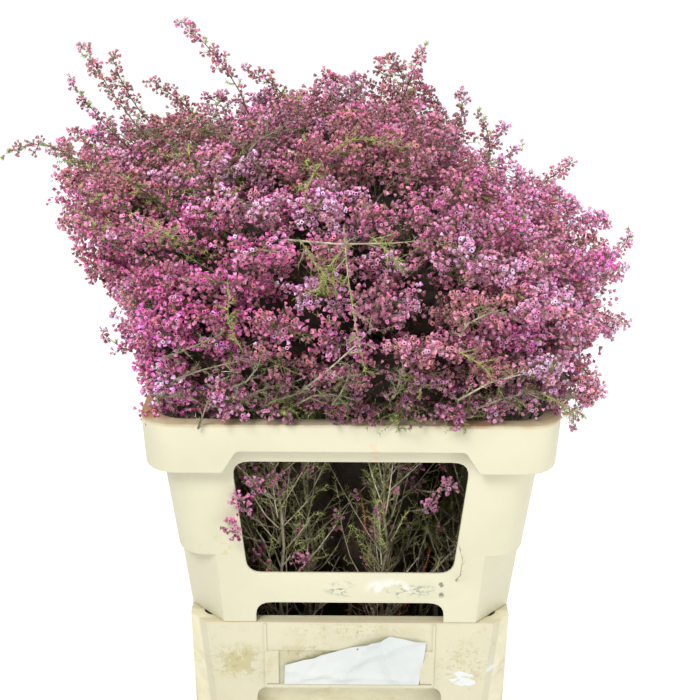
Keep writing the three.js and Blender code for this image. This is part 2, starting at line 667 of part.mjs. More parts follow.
const container = new THREE.Group();
const flowers = new THREE.Group();
function place(group, solid, name, finish) {
  const mesh = new THREE.Mesh(toGeometry(solid), new THREE.MeshStandardMaterial(finishes[finish]));
  mesh.name = name;
  group.add(mesh);
}

const branches = listBranches();
for (const branch of branches) branch.plan = planRacemes(branch);
addStrays(branches);
place(container, buildTub(), "tub", "tub");
const collar = buildCollar();
place(container, halfCollar(collar, -1), "collar_front", "collar");
place(container, halfCollar(collar, 1), "collar_back", "collar");
place(container, buildWater(branches), "water", "water");
place(container, buildSlip(), "paper_slip", "paper");
for (const branch of branches) {
  const number = String(branch.number).padStart(2, "0");
  place(flowers, buildStem(branch), "stem_" + number, "stem");
  place(flowers, buildBloom(branch), "bloom_" + number, "bloom");
}

const heather = new THREE.Group();
heather.add(container, flowers);
export default heather;
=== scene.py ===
import math

import bmesh
import bpy
import numpy as np
from mathutils import Euler, Matrix, Vector


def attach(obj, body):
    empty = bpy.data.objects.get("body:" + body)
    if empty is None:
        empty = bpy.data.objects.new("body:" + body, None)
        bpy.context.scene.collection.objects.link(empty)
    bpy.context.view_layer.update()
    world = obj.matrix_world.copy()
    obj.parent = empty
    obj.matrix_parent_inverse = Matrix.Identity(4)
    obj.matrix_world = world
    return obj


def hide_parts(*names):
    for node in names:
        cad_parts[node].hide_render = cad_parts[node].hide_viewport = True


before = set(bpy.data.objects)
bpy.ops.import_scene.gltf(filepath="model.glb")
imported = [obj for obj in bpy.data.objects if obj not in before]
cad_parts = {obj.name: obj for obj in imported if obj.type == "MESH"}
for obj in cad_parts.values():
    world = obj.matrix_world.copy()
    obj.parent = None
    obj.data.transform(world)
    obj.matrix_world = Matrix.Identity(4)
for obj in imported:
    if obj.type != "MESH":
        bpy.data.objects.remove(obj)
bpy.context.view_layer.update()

MM = 0.001

# The plan of the bush in millimetres, as in the part's source.
# Rings of branches, seen from above: inner edge, outer edge, how many
BRANCH_RINGS = [(0, 0.162, 1), (0.162, 0.438, 6), (0.438, 0.714, 9), (0.714, 1, 11)]
FOOT_HALF = (108, 158)  # where the outermost stems stand in the tub
NECK_HALF = (145, 195)  # and where they pass the collar's rim
NECK_HEIGHT = 432
COLLAR_ROOM = (150.0, 196.0)  # half the room that side shoots have there
WINDOW_HEIGHT = 300
BUSH_HALF = (260, 276)
BUSH_SHIFT = -14  # it reaches less far on the right, and further on the left
BUSH_TOP = 684
BUSH_MIDDLE = 560  # height at which the bush is widest
MIDDLE_TILT = 46  # that height is this much lower on the right, and higher on the left
EDGE_HALF = (199, 227)  # the bush's lower edge
EDGE_SHIFT = 17
EDGE_HEIGHT = 450
SPILL_ANGLE = -1.35  # here, in front, some flowers spill over the rim
SPILL_REACH = 13
EDGE_LIFT = 26  # the branches arch over the rim
RIGHT_SINK = 0.46  # the top is lower on the right by this share, and on the left by the next
LEFT_SINK = 0.3
UPPER_SHARE = 0.72  # the part of the way out that lies above the widest place
CELL_GAP = 0.004  # half the gap between neighbouring branches
BLOOM_DEPTH = 150
STEM_STRAIGHT = 92  # the stems rise straight out of the water to this height
STEM_RADIUS = 2.8
STEM_FOOT = 3.4  # just above the tub's floor
GRID = 3  # racemes along each side of a branch's cell
LEAN = 0.08
EDGE_DROOP = 0.1
STRAY_TIPS = [
    (-156, -40, 752), (-99, 0, 702), (-250, -20, 728), (-229, 10, 714), (-260, -30, 695), (-268, 0, 645),
    (-325, -40, 629), (-192, 0, 692), (32, 20, 714), (69, 30, 722), (103, 10, 682), (119, -10, 667),
    (148, 20, 648), (214, 10, 614), (268, -30, 556), (256, -60, 530), (263, -70, 476), (201, -168, 414),
    (-227, -130, 488), (-190, 190, 645), (190, 190, 590), (60, 300, 560), (-90, 300, 540),
]

# Long sprigs that lie over the bush, each as the start, the middle and the end of its curve
SPRIGS = {
    "young": [
        [(-88, -262, 523), (-97, -268, 548), (-95, -273, 572)],
        [(-39, -261, 611), (-28, -272, 597), (-14, -278, 585)],
        [(-20, -174, 661), (8, -150, 670), (41, -158, 662)],
        [(-7, -250, 620), (-1, -284, 574), (12, -270, 503)],
        [(-25, -184, 657), (-33, -208, 650), (-40, -230, 635)],
        [(15, -254, 614), (25, -264, 608), (35, -268, 595)],
        [(82, -273, 528), (101, -266, 514), (117, -256, 500)],
        [(-7, -264, 607), (-18, -276, 596), (-25, -280, 580)],
        [(160, -233, 473), (179, -226, 460), (190, -220, 448)],
    ],
    "bare": [
        [(-52, -258, 613), (6, -266, 612), (69, -243, 610)],
        [(87, -256, 477), (123, -258, 498), (168, -232, 492)],
        [(-189, -12, 647), (-150, -30, 660), (-105, -82, 659)],
        [(-41, -251, 482), (-14, -275, 515), (16, -281, 549)],
        [(86, -274, 541), (96, -280, 557), (133, -251, 558)],
        [(-129, -236, 440), (-119, -242, 468), (-105, -250, 501)],
    ],
    "twig": [
        [(-156, -237, 505), (-131, -250, 519), (-103, -263, 537)],
        [(-147, -236, 485), (-115, -250, 502), (-80, -260, 514)],
        [(-95, -235, 464), (-72, -249, 483), (-42, -257, 494)],
        [(-75, -234, 460), (-53, -246, 475), (-26, -256, 486)],
        [(-16, -249, 469), (-7, -262, 488), (-1, -270, 510)],
        [(31, -260, 477), (39, -272, 502), (40, -277, 531)],
        [(-101, -242, 480), (-81, -254, 496), (-71, -266, 524)],
        [(-43, -243, 468), (-26, -253, 480), (-4, -256, 479)],
        [(105, -247, 466), (130, -246, 476), (156, -235, 475)],
        [(-227, 30, 637), (-188, -38, 650), (-147, -110, 646)],
        [(-141, -41, 653), (-110, -101, 660), (-83, -161, 652)],
        [(-89, -138, 655), (-76, -125, 666), (-56, -118, 669)],
        [(-168, -219, 464), (-153, -228, 466), (-134, -234, 469)],
        [(176, -226, 465), (187, -222, 466), (197, -207, 461)],
    ],
}
# Single shoots in the window, in the same way
WINDOW_SHOOTS = {
    "flowering": [
        [(-60, -130, 285), (-84, -190, 325), (-98, -221, 366)],
        [(-62, -130, 270), (-88, -192, 308), (-108, -222, 340)],
        [(-60, -150, 330), (-74, -192, 352), (-86, -208, 376)],
        [(50, -120, 300), (64, -165, 325), (74, -195, 348)],
        [(60, -130, 330), (76, -180, 352), (88, -205, 372)],
        [(-20, -120, 270), (-34, -160, 276), (-46, -185, 282)],
    ],
    "bare": [
        [(92, -196, 262), (101, -215, 292), (96, -215, 320)],
        [(-10, -150, 250), (-24, -186, 290), (-30, -196, 330)],
        [(70, -150, 240), (62, -186, 280), (70, -196, 320)],
    ],
    "withered": [
        [(40, -165, 206), (47, -172, 219), (50, -170, 234)],
        [(50, -160, 208), (56, -168, 221), (54, -172, 236)],
        [(68, -150, 246), (73, -152, 260), (76, -150, 276)],
        [(8, -150, 340), (12, -176, 330), (14, -186, 316)],
    ],
}

# Paper slip: the sides of its outline, and its folds, each as a point on it, the way it runs, how far it
# stands out and how wide it is
SLIP_SIDES = [((-62, 156.6), (66, 156.6)), ((66, 156.6), (72, 204)), ((72, 204), (38, 210.5)),
              ((38, 210.5), (-61, 178)), ((-61, 178), (-62, 156.6))]
SLIP_FOLDS = [((2, 180), (0.62, 1.0), 3.2, 11), ((-20, 172), (1.0, 0.42), 1.6, 7),
              ((34, 190), (-0.3, 1.0), 2.6, 9), ((5, 165), (1.0, -0.1), 1.2, 6),
              ((60, 170), (0.5, 1.0), 1.4, 6), ((-45, 165), (0.5, 1.0), 1.3, 6)]
SLIP_SIZE = (0.138, 0.058)
SLIP_MIDDLE = (0.005, -0.2009, 0.1835)
SLIP_THICK = 0.3

# Camera and studio light
CAMERA_PLACE = (-0.0014, -1.1916, 0.889)
LOOKS_DOWN = 21.5
CAMERA_ROLL = 0.35
LENS = 64.3
# name, place, what it is aimed at, size and power
LIGHTS = [("key", (-0.7, -1.5, 2.0), (0, 0, 0.45), 0.7, 40), ("top", (0.2, 0.0, 2.3), (0, 0, 0.5), 0.8, 12),
          ("fill", (1.5, -1.3, 0.9), (0, 0, 0.4), 0.9, 12)]


class Draws:
    """The same seeded draws as the part's source makes."""

    def __init__(self, seed):
        self.state = seed

    def __call__(self, low=0.0, high=1.0):
        self.state = (self.state * 1664525 + 1013904223) % 2 ** 32
        return low + (high - low) * self.state / 2 ** 32


def smooth(x):
    x = np.clip(x, 0, 1)
    return x * x * (3 - 2 * x)


def rise(value, start, full):
    """0 up to the start and 1 from full on, with a soft way between; full may be the lower one."""
    return smooth((value - start) / (full - start))


def mix(a, b, share):
    return a + (b - a) * share


def unit(v):
    return v / np.maximum(np.linalg.norm(v, axis=-1, keepdims=True), 1e-9)


def distance(a, b):
    return np.linalg.norm(a - b, axis=-1, keepdims=True)


def stack(x, y, z):
    return np.stack(np.broadcast_arrays(x, y, z), axis=-1).astype(float)


def super_radius(half_x, half_y, angle, power):
    """Radius of a rounded rectangle, which a high power makes squarer."""
    x = np.abs(np.cos(angle) / half_x) ** power
    y = np.abs(np.sin(angle) / half_y) ** power
    return (x + y) ** (-1 / power)


def surface_point(out, angle):
    """The bush's surface; out is 0 at the middle of its top and 1 at its lower edge."""
    above = np.minimum(out / UPPER_SHARE, 1)
    below = np.maximum(out - UPPER_SHARE, 0) / (1 - UPPER_SHARE)
    turn = math.pi / 2 * (0.8 * above + 0.2 * above * above)
    right = np.cos(angle)
    spill = SPILL_REACH * np.exp(-25 * (1 - np.cos(angle - SPILL_ANGLE)))
    wide = super_radius(BUSH_HALF[0] + BUSH_SHIFT * right, BUSH_HALF[1], angle, 2.5) * np.sin(turn)
    edge_reach = super_radius(EDGE_HALF[0] + EDGE_SHIFT * right, EDGE_HALF[1] + spill, angle, 8)
    reach = mix(wide, edge_reach, below ** 1.6)
    x = reach * right
    middle = BUSH_MIDDLE - MIDDLE_TILT * right
    sink = RIGHT_SINK * rise(x, 40, 170) + LEFT_SINK * rise(x, -20, -150)
    up = (BUSH_TOP - middle) * np.cos(turn) * (1 - sink)
    edge = EDGE_HEIGHT + 8 * np.abs(np.sin(2 * angle)) - spill - (4 + 10 * right) * right ** 4
    return stack(x, reach * np.sin(angle), middle + up - (middle - edge) * below)


def level_point(half, out, angle, z):
    reach = np.power(out, 0.75) * super_radius(*half, angle, 5)
    return stack(reach * np.cos(angle), reach * np.sin(angle), z)


def fan_point(out, angle, share):
    """share is 0 at the collar's rim and 1 at the bush's surface."""
    out, angle, share = (np.asarray(v, float) for v in (out, angle, share))
    low = level_point(FOOT_HALF, out, angle, STEM_STRAIGHT)
    neck = level_point(NECK_HALF, out, angle, NECK_HEIGHT)
    tip = surface_point(out, angle)
    below = np.maximum(out - UPPER_SHARE, 0) / (1 - UPPER_SHARE)
    height = 0.42 * distance(tip, neck) + EDGE_LIFT * below[..., None]
    bend = neck + unit(neck - low) * height
    s = np.minimum(share, 1)[..., None]
    inside = (1 - s) ** 2 * neck + 2 * s * (1 - s) * bend + s * s * tip
    beyond = np.maximum(share - 1, 0)[..., None] * distance(tip, neck)
    return inside + unit(tip - bend) * beyond


def upper_length(out, angle):
    points = fan_point(np.full(201, out), np.full(201, angle), np.linspace(0, 1, 201))
    return float(distance(points[1:], points[:-1]).sum())


def border(out, angle):
    return 1 if out == 1 else out * (1 + 0.035 * np.sin(3 * angle + 9 * out))


def cell_point(branch, a, b):
    """Way out and angle of a place in a branch's cell, with a and b from 0 to 1."""
    a, b = np.asarray(a, float), np.asarray(b, float)
    inner, outer = branch["inner"], branch["outer"]
    if inner > 0:
        gap = CELL_GAP / (inner + outer)
        angle = mix(branch["from"] + gap, branch["to"] - gap, b)
        return mix(border(inner, angle) + CELL_GAP, border(outer, angle) - CELL_GAP, a), angle
    x, y = 2 * a - 1, 2 * b - 1
    u, v = x * np.sqrt(np.maximum(1 - y * y / 2, 0)), y * np.sqrt(np.maximum(1 - x * x / 2, 0))
    angle = np.arctan2(v, u)
    return np.hypot(u, v) * (border(outer, angle) - 2.5 * CELL_GAP), angle


def place_in(branch, place):
    place = np.asarray(place, float)
    out, angle = cell_point(branch, place[..., 0], place[..., 1])
    return fan_point(out, angle, place[..., 2])


def raceme_axis(raceme, height):
    height = np.asarray(height, float)
    bend = height * height
    mean, lean = raceme["mean"], raceme["lean"]
    return stack(mean[0] + (lean[0] + raceme["droop"]) * bend, mean[1] + lean[1] * bend,
                 mix(mean[2], raceme["end"], height))


def plan_racemes(branch):
    draw, depth = branch["draw"], 1 - branch["hub"]
    grid = []
    for i in range(GRID + 1):
        for j in range(GRID + 1):
            sway = [0.26 / GRID if 0 < index < GRID else 0 for index in (i, j)]
            a = i / GRID + draw(-1, 1) * sway[0]
            b = j / GRID + draw(-1, 1) * sway[1]
            grid.append((a, b, 1 - depth * draw(0.36, 0.48)))
    racemes = []
    for i in range(GRID):
        for j in range(GRID):
            spots = [(i, j), (i + 1, j), (i + 1, j + 1), (i, j + 1)]
            corners = np.array([grid[p * (GRID + 1) + q] for p, q in spots])
            lean = (draw(-LEAN, LEAN), draw(-LEAN, LEAN))
            droop = EDGE_DROOP if branch["outer"] == 1 and i == GRID - 1 else 0
            for _ in range(12):  # the source draws its florets here
                draw()
            end = 1 + depth * (draw(-0.2, 0.16) + droop)
            racemes.append({"corners": corners, "mean": corners.mean(axis=0), "lean": lean, "droop": droop,
                            "end": end, "stray": None, "branch": branch})
    return racemes


def list_branches():
    branches = []
    for ring, (inner, outer, count) in enumerate(BRANCH_RINGS):
        draw = Draws(50 + ring)
        edges = [(i + 0.37 * ring + draw(-0.1, 0.1)) / count * 2 * math.pi for i in range(count)]
        edges.append(edges[0] + 2 * math.pi)
        for i in range(count):
            number = len(branches) + 1
            branch = {"number": number, "inner": inner, "outer": outer, "from": edges[i], "to": edges[i + 1],
                      "draw": Draws(1000 + 37 * number)}
            out, angle = (float(v) for v in cell_point(branch, 0.5, 0.5)) if ring else (0.0, 0.0)
            branch.update(out=out, angle=angle, hub=1 - min(0.8, BLOOM_DEPTH / upper_length(out, angle)))
            branch["racemes"] = plan_racemes(branch)
            branches.append(branch)
    return branches


def raceme_end(raceme):
    """The tip of a raceme and the way it points."""
    points = place_in(raceme["branch"], raceme_axis(raceme, np.array([0.75, 1.0])))
    return points[1], unit(points[1] - points[0])


def add_strays(branches):
    """Each stray sprig goes on the raceme from which it can run on most straightly."""
    racemes = [r for branch in branches for r in branch["racemes"]]
    ends = [raceme_end(r) for r in racemes]
    for tip in STRAY_TIPS:
        best, best_cost = None, 1e9
        for raceme, (end, onward) in zip(racemes, ends):
            along = np.array(tip, float) - end
            reach = np.linalg.norm(along)
            cost = reach * (3 - 2 * float(np.dot(along / reach, onward)))
            if raceme["stray"] is None and cost < best_cost:
                best, best_cost = raceme, cost
        best["stray"] = np.array(tip, float)


def tip_of(branch):
    return place_in(branch, (0.5, 0.5, 1.0))


def behind_window(branch):
    return level_point(NECK_HALF, branch["out"], branch["angle"], WINDOW_HEIGHT)


def nearest(branches, where, point):
    return min(branches, key=lambda branch: np.linalg.norm(where(branch) - point))


# Meshes of many small shapes
class Heap:
    """Vertices, faces, colours and material numbers of one piece, gathered copy by copy."""

    def __init__(self):
        self.points, self.faces, self.colours, self.kinds, self.count = [], [], [], [], 0

    def add(self, points, faces, colours, kind):
        """points is (copies, corners, 3), faces is one copy's list, colours has 3 or 4 values."""
        copies, corners = points.shape[:2]
        if copies == 0:
            return
        starts = self.count + np.arange(copies)[:, None, None] * corners
        for size in sorted({len(f) for f in faces}):
            group = np.array([f for f in faces if len(f) == size])
            block = (starts + group[None]).reshape(-1, size)
            self.faces.append(block)
            self.kinds.append(np.full(len(block), kind))
        self.points.append(points.reshape(-1, 3))
        if colours.shape[-1] == 3:
            colours = np.concatenate([colours, np.zeros((*colours.shape[:-1], 1))], axis=-1)
        self.colours.append(np.broadcast_to(colours, (copies, corners, 4)).reshape(-1, 4))
        self.count += copies * corners

    def build(self, name, materials):
        points = np.concatenate(self.points) * MM
        loops = np.concatenate([block.reshape(-1) for block in self.faces]).astype(np.int32)
        sizes = np.concatenate([np.full(len(block), block.shape[1]) for block in self.faces])
        starts = np.concatenate([[0], np.cumsum(sizes)[:-1]]).astype(np.int32)
        mesh = bpy.data.meshes.new(name)
        mesh.vertices.add(len(points))
        mesh.vertices.foreach_set("co", points.astype(np.float32).reshape(-1))
        mesh.loops.add(len(loops))
        mesh.loops.foreach_set("vertex_index", loops)
        mesh.polygons.add(len(sizes))
        mesh.polygons.foreach_set("loop_start", starts)
        mesh.polygons.foreach_set("material_index", np.concatenate(self.kinds).astype(np.int32))
        mesh.update(calc_edges=True)
        tint = mesh.color_attributes.new("tint", "FLOAT_COLOR", "POINT")
        tint.data.foreach_set("color", np.concatenate(self.colours).astype(np.float32).reshape(-1))
        for material in materials:
            mesh.materials.append(material)
        piece = bpy.data.objects.new(name, mesh)
        bpy.context.collection.objects.link(piece)
        return piece


def frames_along(directions, roll):
    """Two side directions for each direction, turned by roll."""
    up = np.where(np.abs(directions[..., 2:3]) > 0.9, np.array([1.0, 0, 0]), np.array([0, 0, 1.0]))
    u = unit(np.cross(up, directions))
    w = np.cross(directions, u)
    c, s = np.cos(roll)[..., None], np.sin(roll)[..., None]
    return u * c + w * s, w * c - u * s


def skin(rings, count):
    """Four-sided faces between rings of points that lie one after the other."""
    faces = []
    for k in range(rings - 1):
        for i in range(count):
            low, next_low = k * count + i, k * count + (i + 1) % count
            faces.append((low, next_low, next_low + count, low + count))
    return faces


def add_shapes(heap, shape, feet, directions, sizes, roll, colours, kind):
    """One small shape, standing at each foot and pointing along its direction."""
    points, faces, _ = shape
    u, w = frames_along(directions, roll)
    scaled = points[None] * sizes[:, None, :]
    placed = (feet[:, None] + scaled[..., 0:1] * u[:, None] + scaled[..., 1:2] * w[:, None]
              + scaled[..., 2:3] * directions[:, None])
    heap.add(placed, faces, colours, kind)


def add_tubes(heap, paths, radii, colours, sides=3):
    """Closed wooden tubes through paths (count, steps, 3); the last point is the tip."""
    count, steps = paths.shape[:2]
    along = np.empty_like(paths)
    along[:, 1:-1] = paths[:, 2:] - paths[:, :-2]
    along[:, 0] = paths[:, 1] - paths[:, 0]
    along[:, -1] = paths[:, -1] - paths[:, -2]
    u, w = frames_along(unit(along), np.zeros(along.shape[:2]))
    turn = np.arange(sides) / sides * 2 * math.pi
    ring = (np.cos(turn)[:, None] * u[:, :-1, None] + np.sin(turn)[:, None] * w[:, :-1, None])
    ring = paths[:, :-1, None] + ring * np.atleast_2d(radii)[:, :-1, None, None]
    points = np.concatenate([ring.reshape(count, -1, 3), paths[:, -1:]], axis=1)
    last = (steps - 2) * sides
    faces = skin(steps - 1, sides)
    faces += [(last + i, last + (i + 1) % sides, last + sides) for i in range(sides)]
    faces.append(tuple(range(sides - 1, -1, -1)))
    heap.add(points, faces, np.atleast_2d(colours)[:, None], WOOD)


def deselect():
    for one in list(bpy.context.selected_objects):
        one.select_set(False)


def model_cone(corners, end, height, turned=0.0):
    """A small cone with its foot at the origin, as points, faces and the points' heights."""
    deselect()
    bpy.ops.mesh.primitive_cone_add(vertices=corners, radius1=MM, radius2=0, depth=height * MM,
                                    end_fill_type=end, rotation=(turned, 0, 0),
                                    location=(0, 0, height * MM / 2))
    cone = bpy.context.object
    bpy.ops.object.transform_apply(location=True, rotation=True, scale=True)
    points = np.array([v.co[:] for v in cone.data.vertices]) / MM
    faces = [tuple(p.vertices) for p in cone.data.polygons]
    bpy.data.objects.remove(cone, do_unlink=True)
    return points, faces, points[:, 2]


def model_bell(end):
    """A bell with a pointed foot and a four-cornered mouth; a filled one's middle sinks in as its throat."""
    points, faces, heights = model_cone(4, end, 2, math.pi)
    throat = (heights > 1.9) & (np.hypot(points[:, 0], points[:, 1]) < 0.1)
    points[throat, 2] = 1.25
    return points, faces, points[:, 2]


# Materials
def sign(operation, swapped=False):
    def add_node(self, other):
        values = [other, self] if swapped else [self, other]
        return self.paint.node("ShaderNodeMath", {"operation": operation}, values)
    return add_node


class Wire:
    """A socket in a material's tree; the usual signs add Math nodes."""

    def __init__(self, paint, socket):
        self.paint, self.socket = paint, socket

    def __abs__(self):
        return self.paint.node("ShaderNodeMath", {"operation": "ABSOLUTE"}, [self])

    __add__, __radd__ = sign("ADD"), sign("ADD", True)
    __sub__, __rsub__ = sign("SUBTRACT"), sign("SUBTRACT", True)
    __mul__, __rmul__ = sign("MULTIPLY"), sign("MULTIPLY", True)
    __truediv__ = sign("DIVIDE")


def srgb(red, green, blue):
    """Linear colour from the usual 0 to 255 values."""
    shares = (red / 255, green / 255, blue / 255)
    return tuple(((v + 0.055) / 1.055) ** 2.4 if v > 0.04 else v / 12.92 for v in shares)


class Paint:
    """One procedural material with a Principled shader, and the colour that its coats build up."""

    def __init__(self, name, **constants):
        self.material = bpy.data.materials.new(name)
        self.material.use_nodes = True
        self.tree = self.material.node_tree
        self.shader = self.tree.nodes["Principled BSDF"]
        self.colour = None
        for socket, value in constants.items():
            self.shader.inputs[socket.replace("_", " ")].default_value = value

    def node(self, kind, settings=None, inputs=(), output=0):
        made = self.tree.nodes.new(kind)
        for key, value in (settings or {}).items():
            setattr(made, key, value)
        for key, value in inputs.items() if isinstance(inputs, dict) else enumerate(inputs):
            if isinstance(value, Wire):
                self.tree.links.new(value.socket, made.inputs[key])
            else:
                made.inputs[key].default_value = value
        return Wire(self, made.outputs[output])

    def axis(self, index):
        place = self.node("ShaderNodeTexCoord", output="Object")
        return self.node("ShaderNodeSeparateXYZ", inputs=[place], output=index)

    def noise(self, scale, detail=3.0, rough=0.55, stretch=None):
        place = self.node("ShaderNodeTexCoord", output="Object")
        if stretch:
            place = self.node("ShaderNodeMapping", inputs={0: place, 3: stretch})
        return self.node("ShaderNodeTexNoise", inputs={"Vector": place, "Scale": scale, "Detail": detail,
                                                       "Roughness": rough})

    def step(self, value, low, high):
        return self.node("ShaderNodeMapRange", {"interpolation_type": "SMOOTHSTEP"},
                         {"Value": value, "From Min": low, "From Max": high})

    def patches(self, low, high, scale, detail=3.0, rough=0.55, stretch=None):
        """1 where a noise is above high and 0 where it is below low."""
        return self.step(self.noise(scale, detail, rough, stretch), low, high)

    def spot(self, centre, half, soft):
        """1 inside an ellipse in X and Z, fading to 0 at its border."""
        x = (self.axis(0) - centre[0] * MM) / (half[0] * MM)
        z = (self.axis(2) - centre[1] * MM) / (half[1] * MM)
        return 1 - self.step(x * x + z * z, 1 - soft, 1 + soft)

    def blend(self, share, first, second):
        first, second = (v if isinstance(v, Wire) else (*v, 1) for v in (first, second))
        return self.node("ShaderNodeMix", {"data_type": "RGBA"}, {0: share, 6: first, 7: second}, output=2)

    def coat(self, share, *rgb):
        """Lays another colour over the ones before."""
        self.colour = self.blend(share, self.colour, srgb(*rgb))

    def feed(self, socket, wire):
        self.tree.links.new(wire.socket, self.shader.inputs[socket])

    def bump(self, height, strength, depth):
        bump = self.node("ShaderNodeBump", inputs={"Strength": strength, "Distance": depth, "Height": height})
        self.feed("Normal", bump)

    def finish(self):
        self.feed("Base Color", self.colour)
        return self.material


def paint_plastic(name, cream, dirt):
    """Moulded cream plastic with faint clouds and specks, and a mask of what faces the viewer's side."""
    paint = Paint(name, Roughness=0.5, IOR=1.46, Specular_IOR_Level=0.35)
    clouds = paint.noise(9, 4, 0.6)
    paint.colour = paint.blend(paint.step(clouds, 0.35, 0.7), cream, tuple(v * 0.93 for v in cream))
    paint.coat(paint.patches(0.66, 0.74, 160, 2, 0.7) * 0.16, *dirt)
    paint.bump(paint.noise(420, 2, 0.5) * 0.4 + paint.noise(38, 3, 0.5), 0.12, 0.0006)
    paint.feed("Roughness", paint.step(clouds, 0.3, 0.8) * 0.16 + 0.42)
    return paint, 1 - paint.step(paint.axis(1), -0.18, -0.16)


def make_collar_plastic():
    paint, front = paint_plastic("cream_collar_plastic", srgb(203, 199, 173), (190, 175, 130))
    z = paint.axis(2)
    paint.coat(paint.patches(0.4, 0.65, 4, 2) * (1 - paint.step(z, 0.37, 0.41)) * 0.5, 203, 205, 174)
    # the rim's upper edge is worn to tan, with orange-brown stains
    rim = paint.step(z, 0.4385, 0.4418)
    worn = paint.patches(0.38, 0.6, 26, 3, 0.6, stretch=(1, 0.5, 0.1))
    paint.coat(rim * (worn * 0.45 + 0.4), 176, 158, 124)
    rust = paint.patches(0.56, 0.64, 17, 2, 0.5, stretch=(1, 1, 0.2))
    paint.coat(rim * rust * 0.6 * front, 158, 108, 62)
    # rubbed, letterless smears on the rail under the window
    rail = paint.spot((27, 264), (50, 10), 0.6) * front
    streaks = paint.noise(60, 5, 0.62, stretch=(0.9, 1, 2.4))
    thin = 1 - paint.step(abs(streaks - 0.5), 0.008, 0.03)
    paint.coat(rail * thin * paint.patches(0.42, 0.52, 30, 2) * 0.8, 96, 108, 112)
    wisp = paint.spot((36, 266), (20, 9), 0.7) * front
    paint.coat(wisp * paint.patches(0.54, 0.58, 46, 4, 0.55, stretch=(1, 1, 0.45)) * 0.65, 222, 226, 222)
    grey = paint.spot((30, 264), (100, 12), 0.5) * front
    paint.coat(grey * paint.patches(0.5, 0.75, 22, 4, 0.6) * 0.4, 186, 184, 160)
    for centre in ((83.5, 269.5), (84, 257.5)):
        dot = paint.spot(centre, (2.4, 3.0), 0.7) * front
        paint.coat(dot * paint.patches(0.35, 0.55, 300, 2) * 0.8, 84, 86, 78)
    # rows of yellow-brown drips on the shoulder's left side, and a blush on the rim
    drips = paint.spot((-121, 309), (14, 12), 0.6) * front
    paint.coat(drips * paint.patches(0.55, 0.64, 150, 2, 0.5) * 0.45, 190, 172, 96)
    blush = paint.spot((18, 409), (7, 16), 0.9) * front
    paint.coat(blush * paint.patches(0.52, 0.64, 120, 2) * 0.4, 226, 150, 120)
    paint.coat(paint.patches(0.35, 0.7, 12, 4, 0.6) * 0.05, 205, 190, 140)
    return paint.finish()


def make_tub_plastic():
    paint, front = paint_plastic("stained_tub_plastic", srgb(198, 193, 166), (170, 150, 100))
    z = paint.axis(2)
    rim = paint.step(z, 0.2215, 0.2245)
    paint.coat(rim * (paint.patches(0.35, 0.6, 24, 3) * 0.5 + 0.35), 196, 184, 154)
    # patches of mould with dark flecks
    mould = paint.patches(0.46, 0.56, 48, 8, 0.72)
    flecks = paint.patches(0.56, 0.62, 230, 3, 0.7)
    for centre, half, strength in (((-104, 181), (27, 19), 0.75), ((-42, 190), (26, 15), 0.5),
                                   ((108, 180), (24, 22), 0.4), ((4, 215), (60, 9), 0.3)):
        paint.coat(paint.spot(centre, half, 0.9) * front * mould * strength, 172, 162, 116)
        paint.coat(paint.spot(centre, half, 1.0) * front * flecks * 0.4, 138, 126, 90)
    grime = front * paint.patches(0.56, 0.72, 90, 4, 0.7) * paint.patches(0.42, 0.65, 11, 2)
    paint.coat(grime * 0.5, 158, 146, 112)
    # blank, ragged bits of white film
    torn = paint.spot((97, 162), (24, 15), 0.9) + paint.spot((136, 171), (10, 6), 0.9)
    ragged = torn * 0.55 + paint.noise(34, 5, 0.6, stretch=(0.7, 1, 1.6)) * 1.7
    paint.coat(paint.step(ragged, 1.42, 1.45) * front * 0.9, 206, 211, 212)
    low = 1 - paint.step(z, 0.1, 0.16)
    paint.coat(low * paint.patches(0.35, 0.7, 18, 4, 0.65) * 0.35, 205, 184, 136)
    # painted light on the inner wall seen through the hand-hold, which lies in shade there: a coat lighter
    # than the cream lifts it
    y = abs(paint.axis(1))
    recess_light_and_grime = (1 - paint.step(y, 0.191, 0.194)) * paint.step(y, 0.176, 0.179)
    paint.coat(recess_light_and_grime * (0.85 - paint.patches(0.4, 0.65, 46, 5, 0.7) * 0.4), 218, 212, 180)
    # darker streaky patches on that wall, partly grime and partly painted shade
    paint.coat(recess_light_and_grime * paint.patches(0.5, 0.66, 26, 7, 0.7, stretch=(1, 1, 2)) * 0.5, 188, 170, 124)
    return paint.finish()


def make_paper():
    paint = Paint("blank_slip_paper", Roughness=0.75, Specular_IOR_Level=0.25)
    clouds = paint.patches(0.35, 0.7, 14, 3, 0.6)
    paint.colour = paint.blend(clouds, srgb(201, 204, 200), srgb(190, 196, 195))
    paint.coat(paint.patches(0.765, 0.78, 240, 1, 0.4) * 0.7, 96, 74, 60)
    paint.bump(paint.noise(120, 3, 0.6), 0.25, 0.0005)
    return paint.finish()


def make_water():
    paint = Paint("still_water", Roughness=0.06, IOR=1.33)
    paint.colour = paint.blend(paint.noise(14, 3), srgb(44, 48, 34), srgb(70, 70, 50))
    paint.bump(paint.noise(22, 2), 0.15, 0.001)
    return paint.finish()


def paint_plant(name, roughness, spread, scale, sheen=0.0):
    """A plant's skin: its colour lies on the mesh, and a fine pattern varies it."""
    paint = Paint(name, Roughness=roughness, Specular_IOR_Level=0.3, Sheen_Weight=sheen)
    tint = paint.node("ShaderNodeAttribute", {"attribute_name": "tint"})
    darker = paint.node("ShaderNodeVectorMath", {"operation": "SCALE"}, {0: tint, "Scale": 1 - spread})
    paint.colour = paint.blend(paint.patches(0.35, 0.65, scale, 2, 0.6), darker, tint)
    return paint


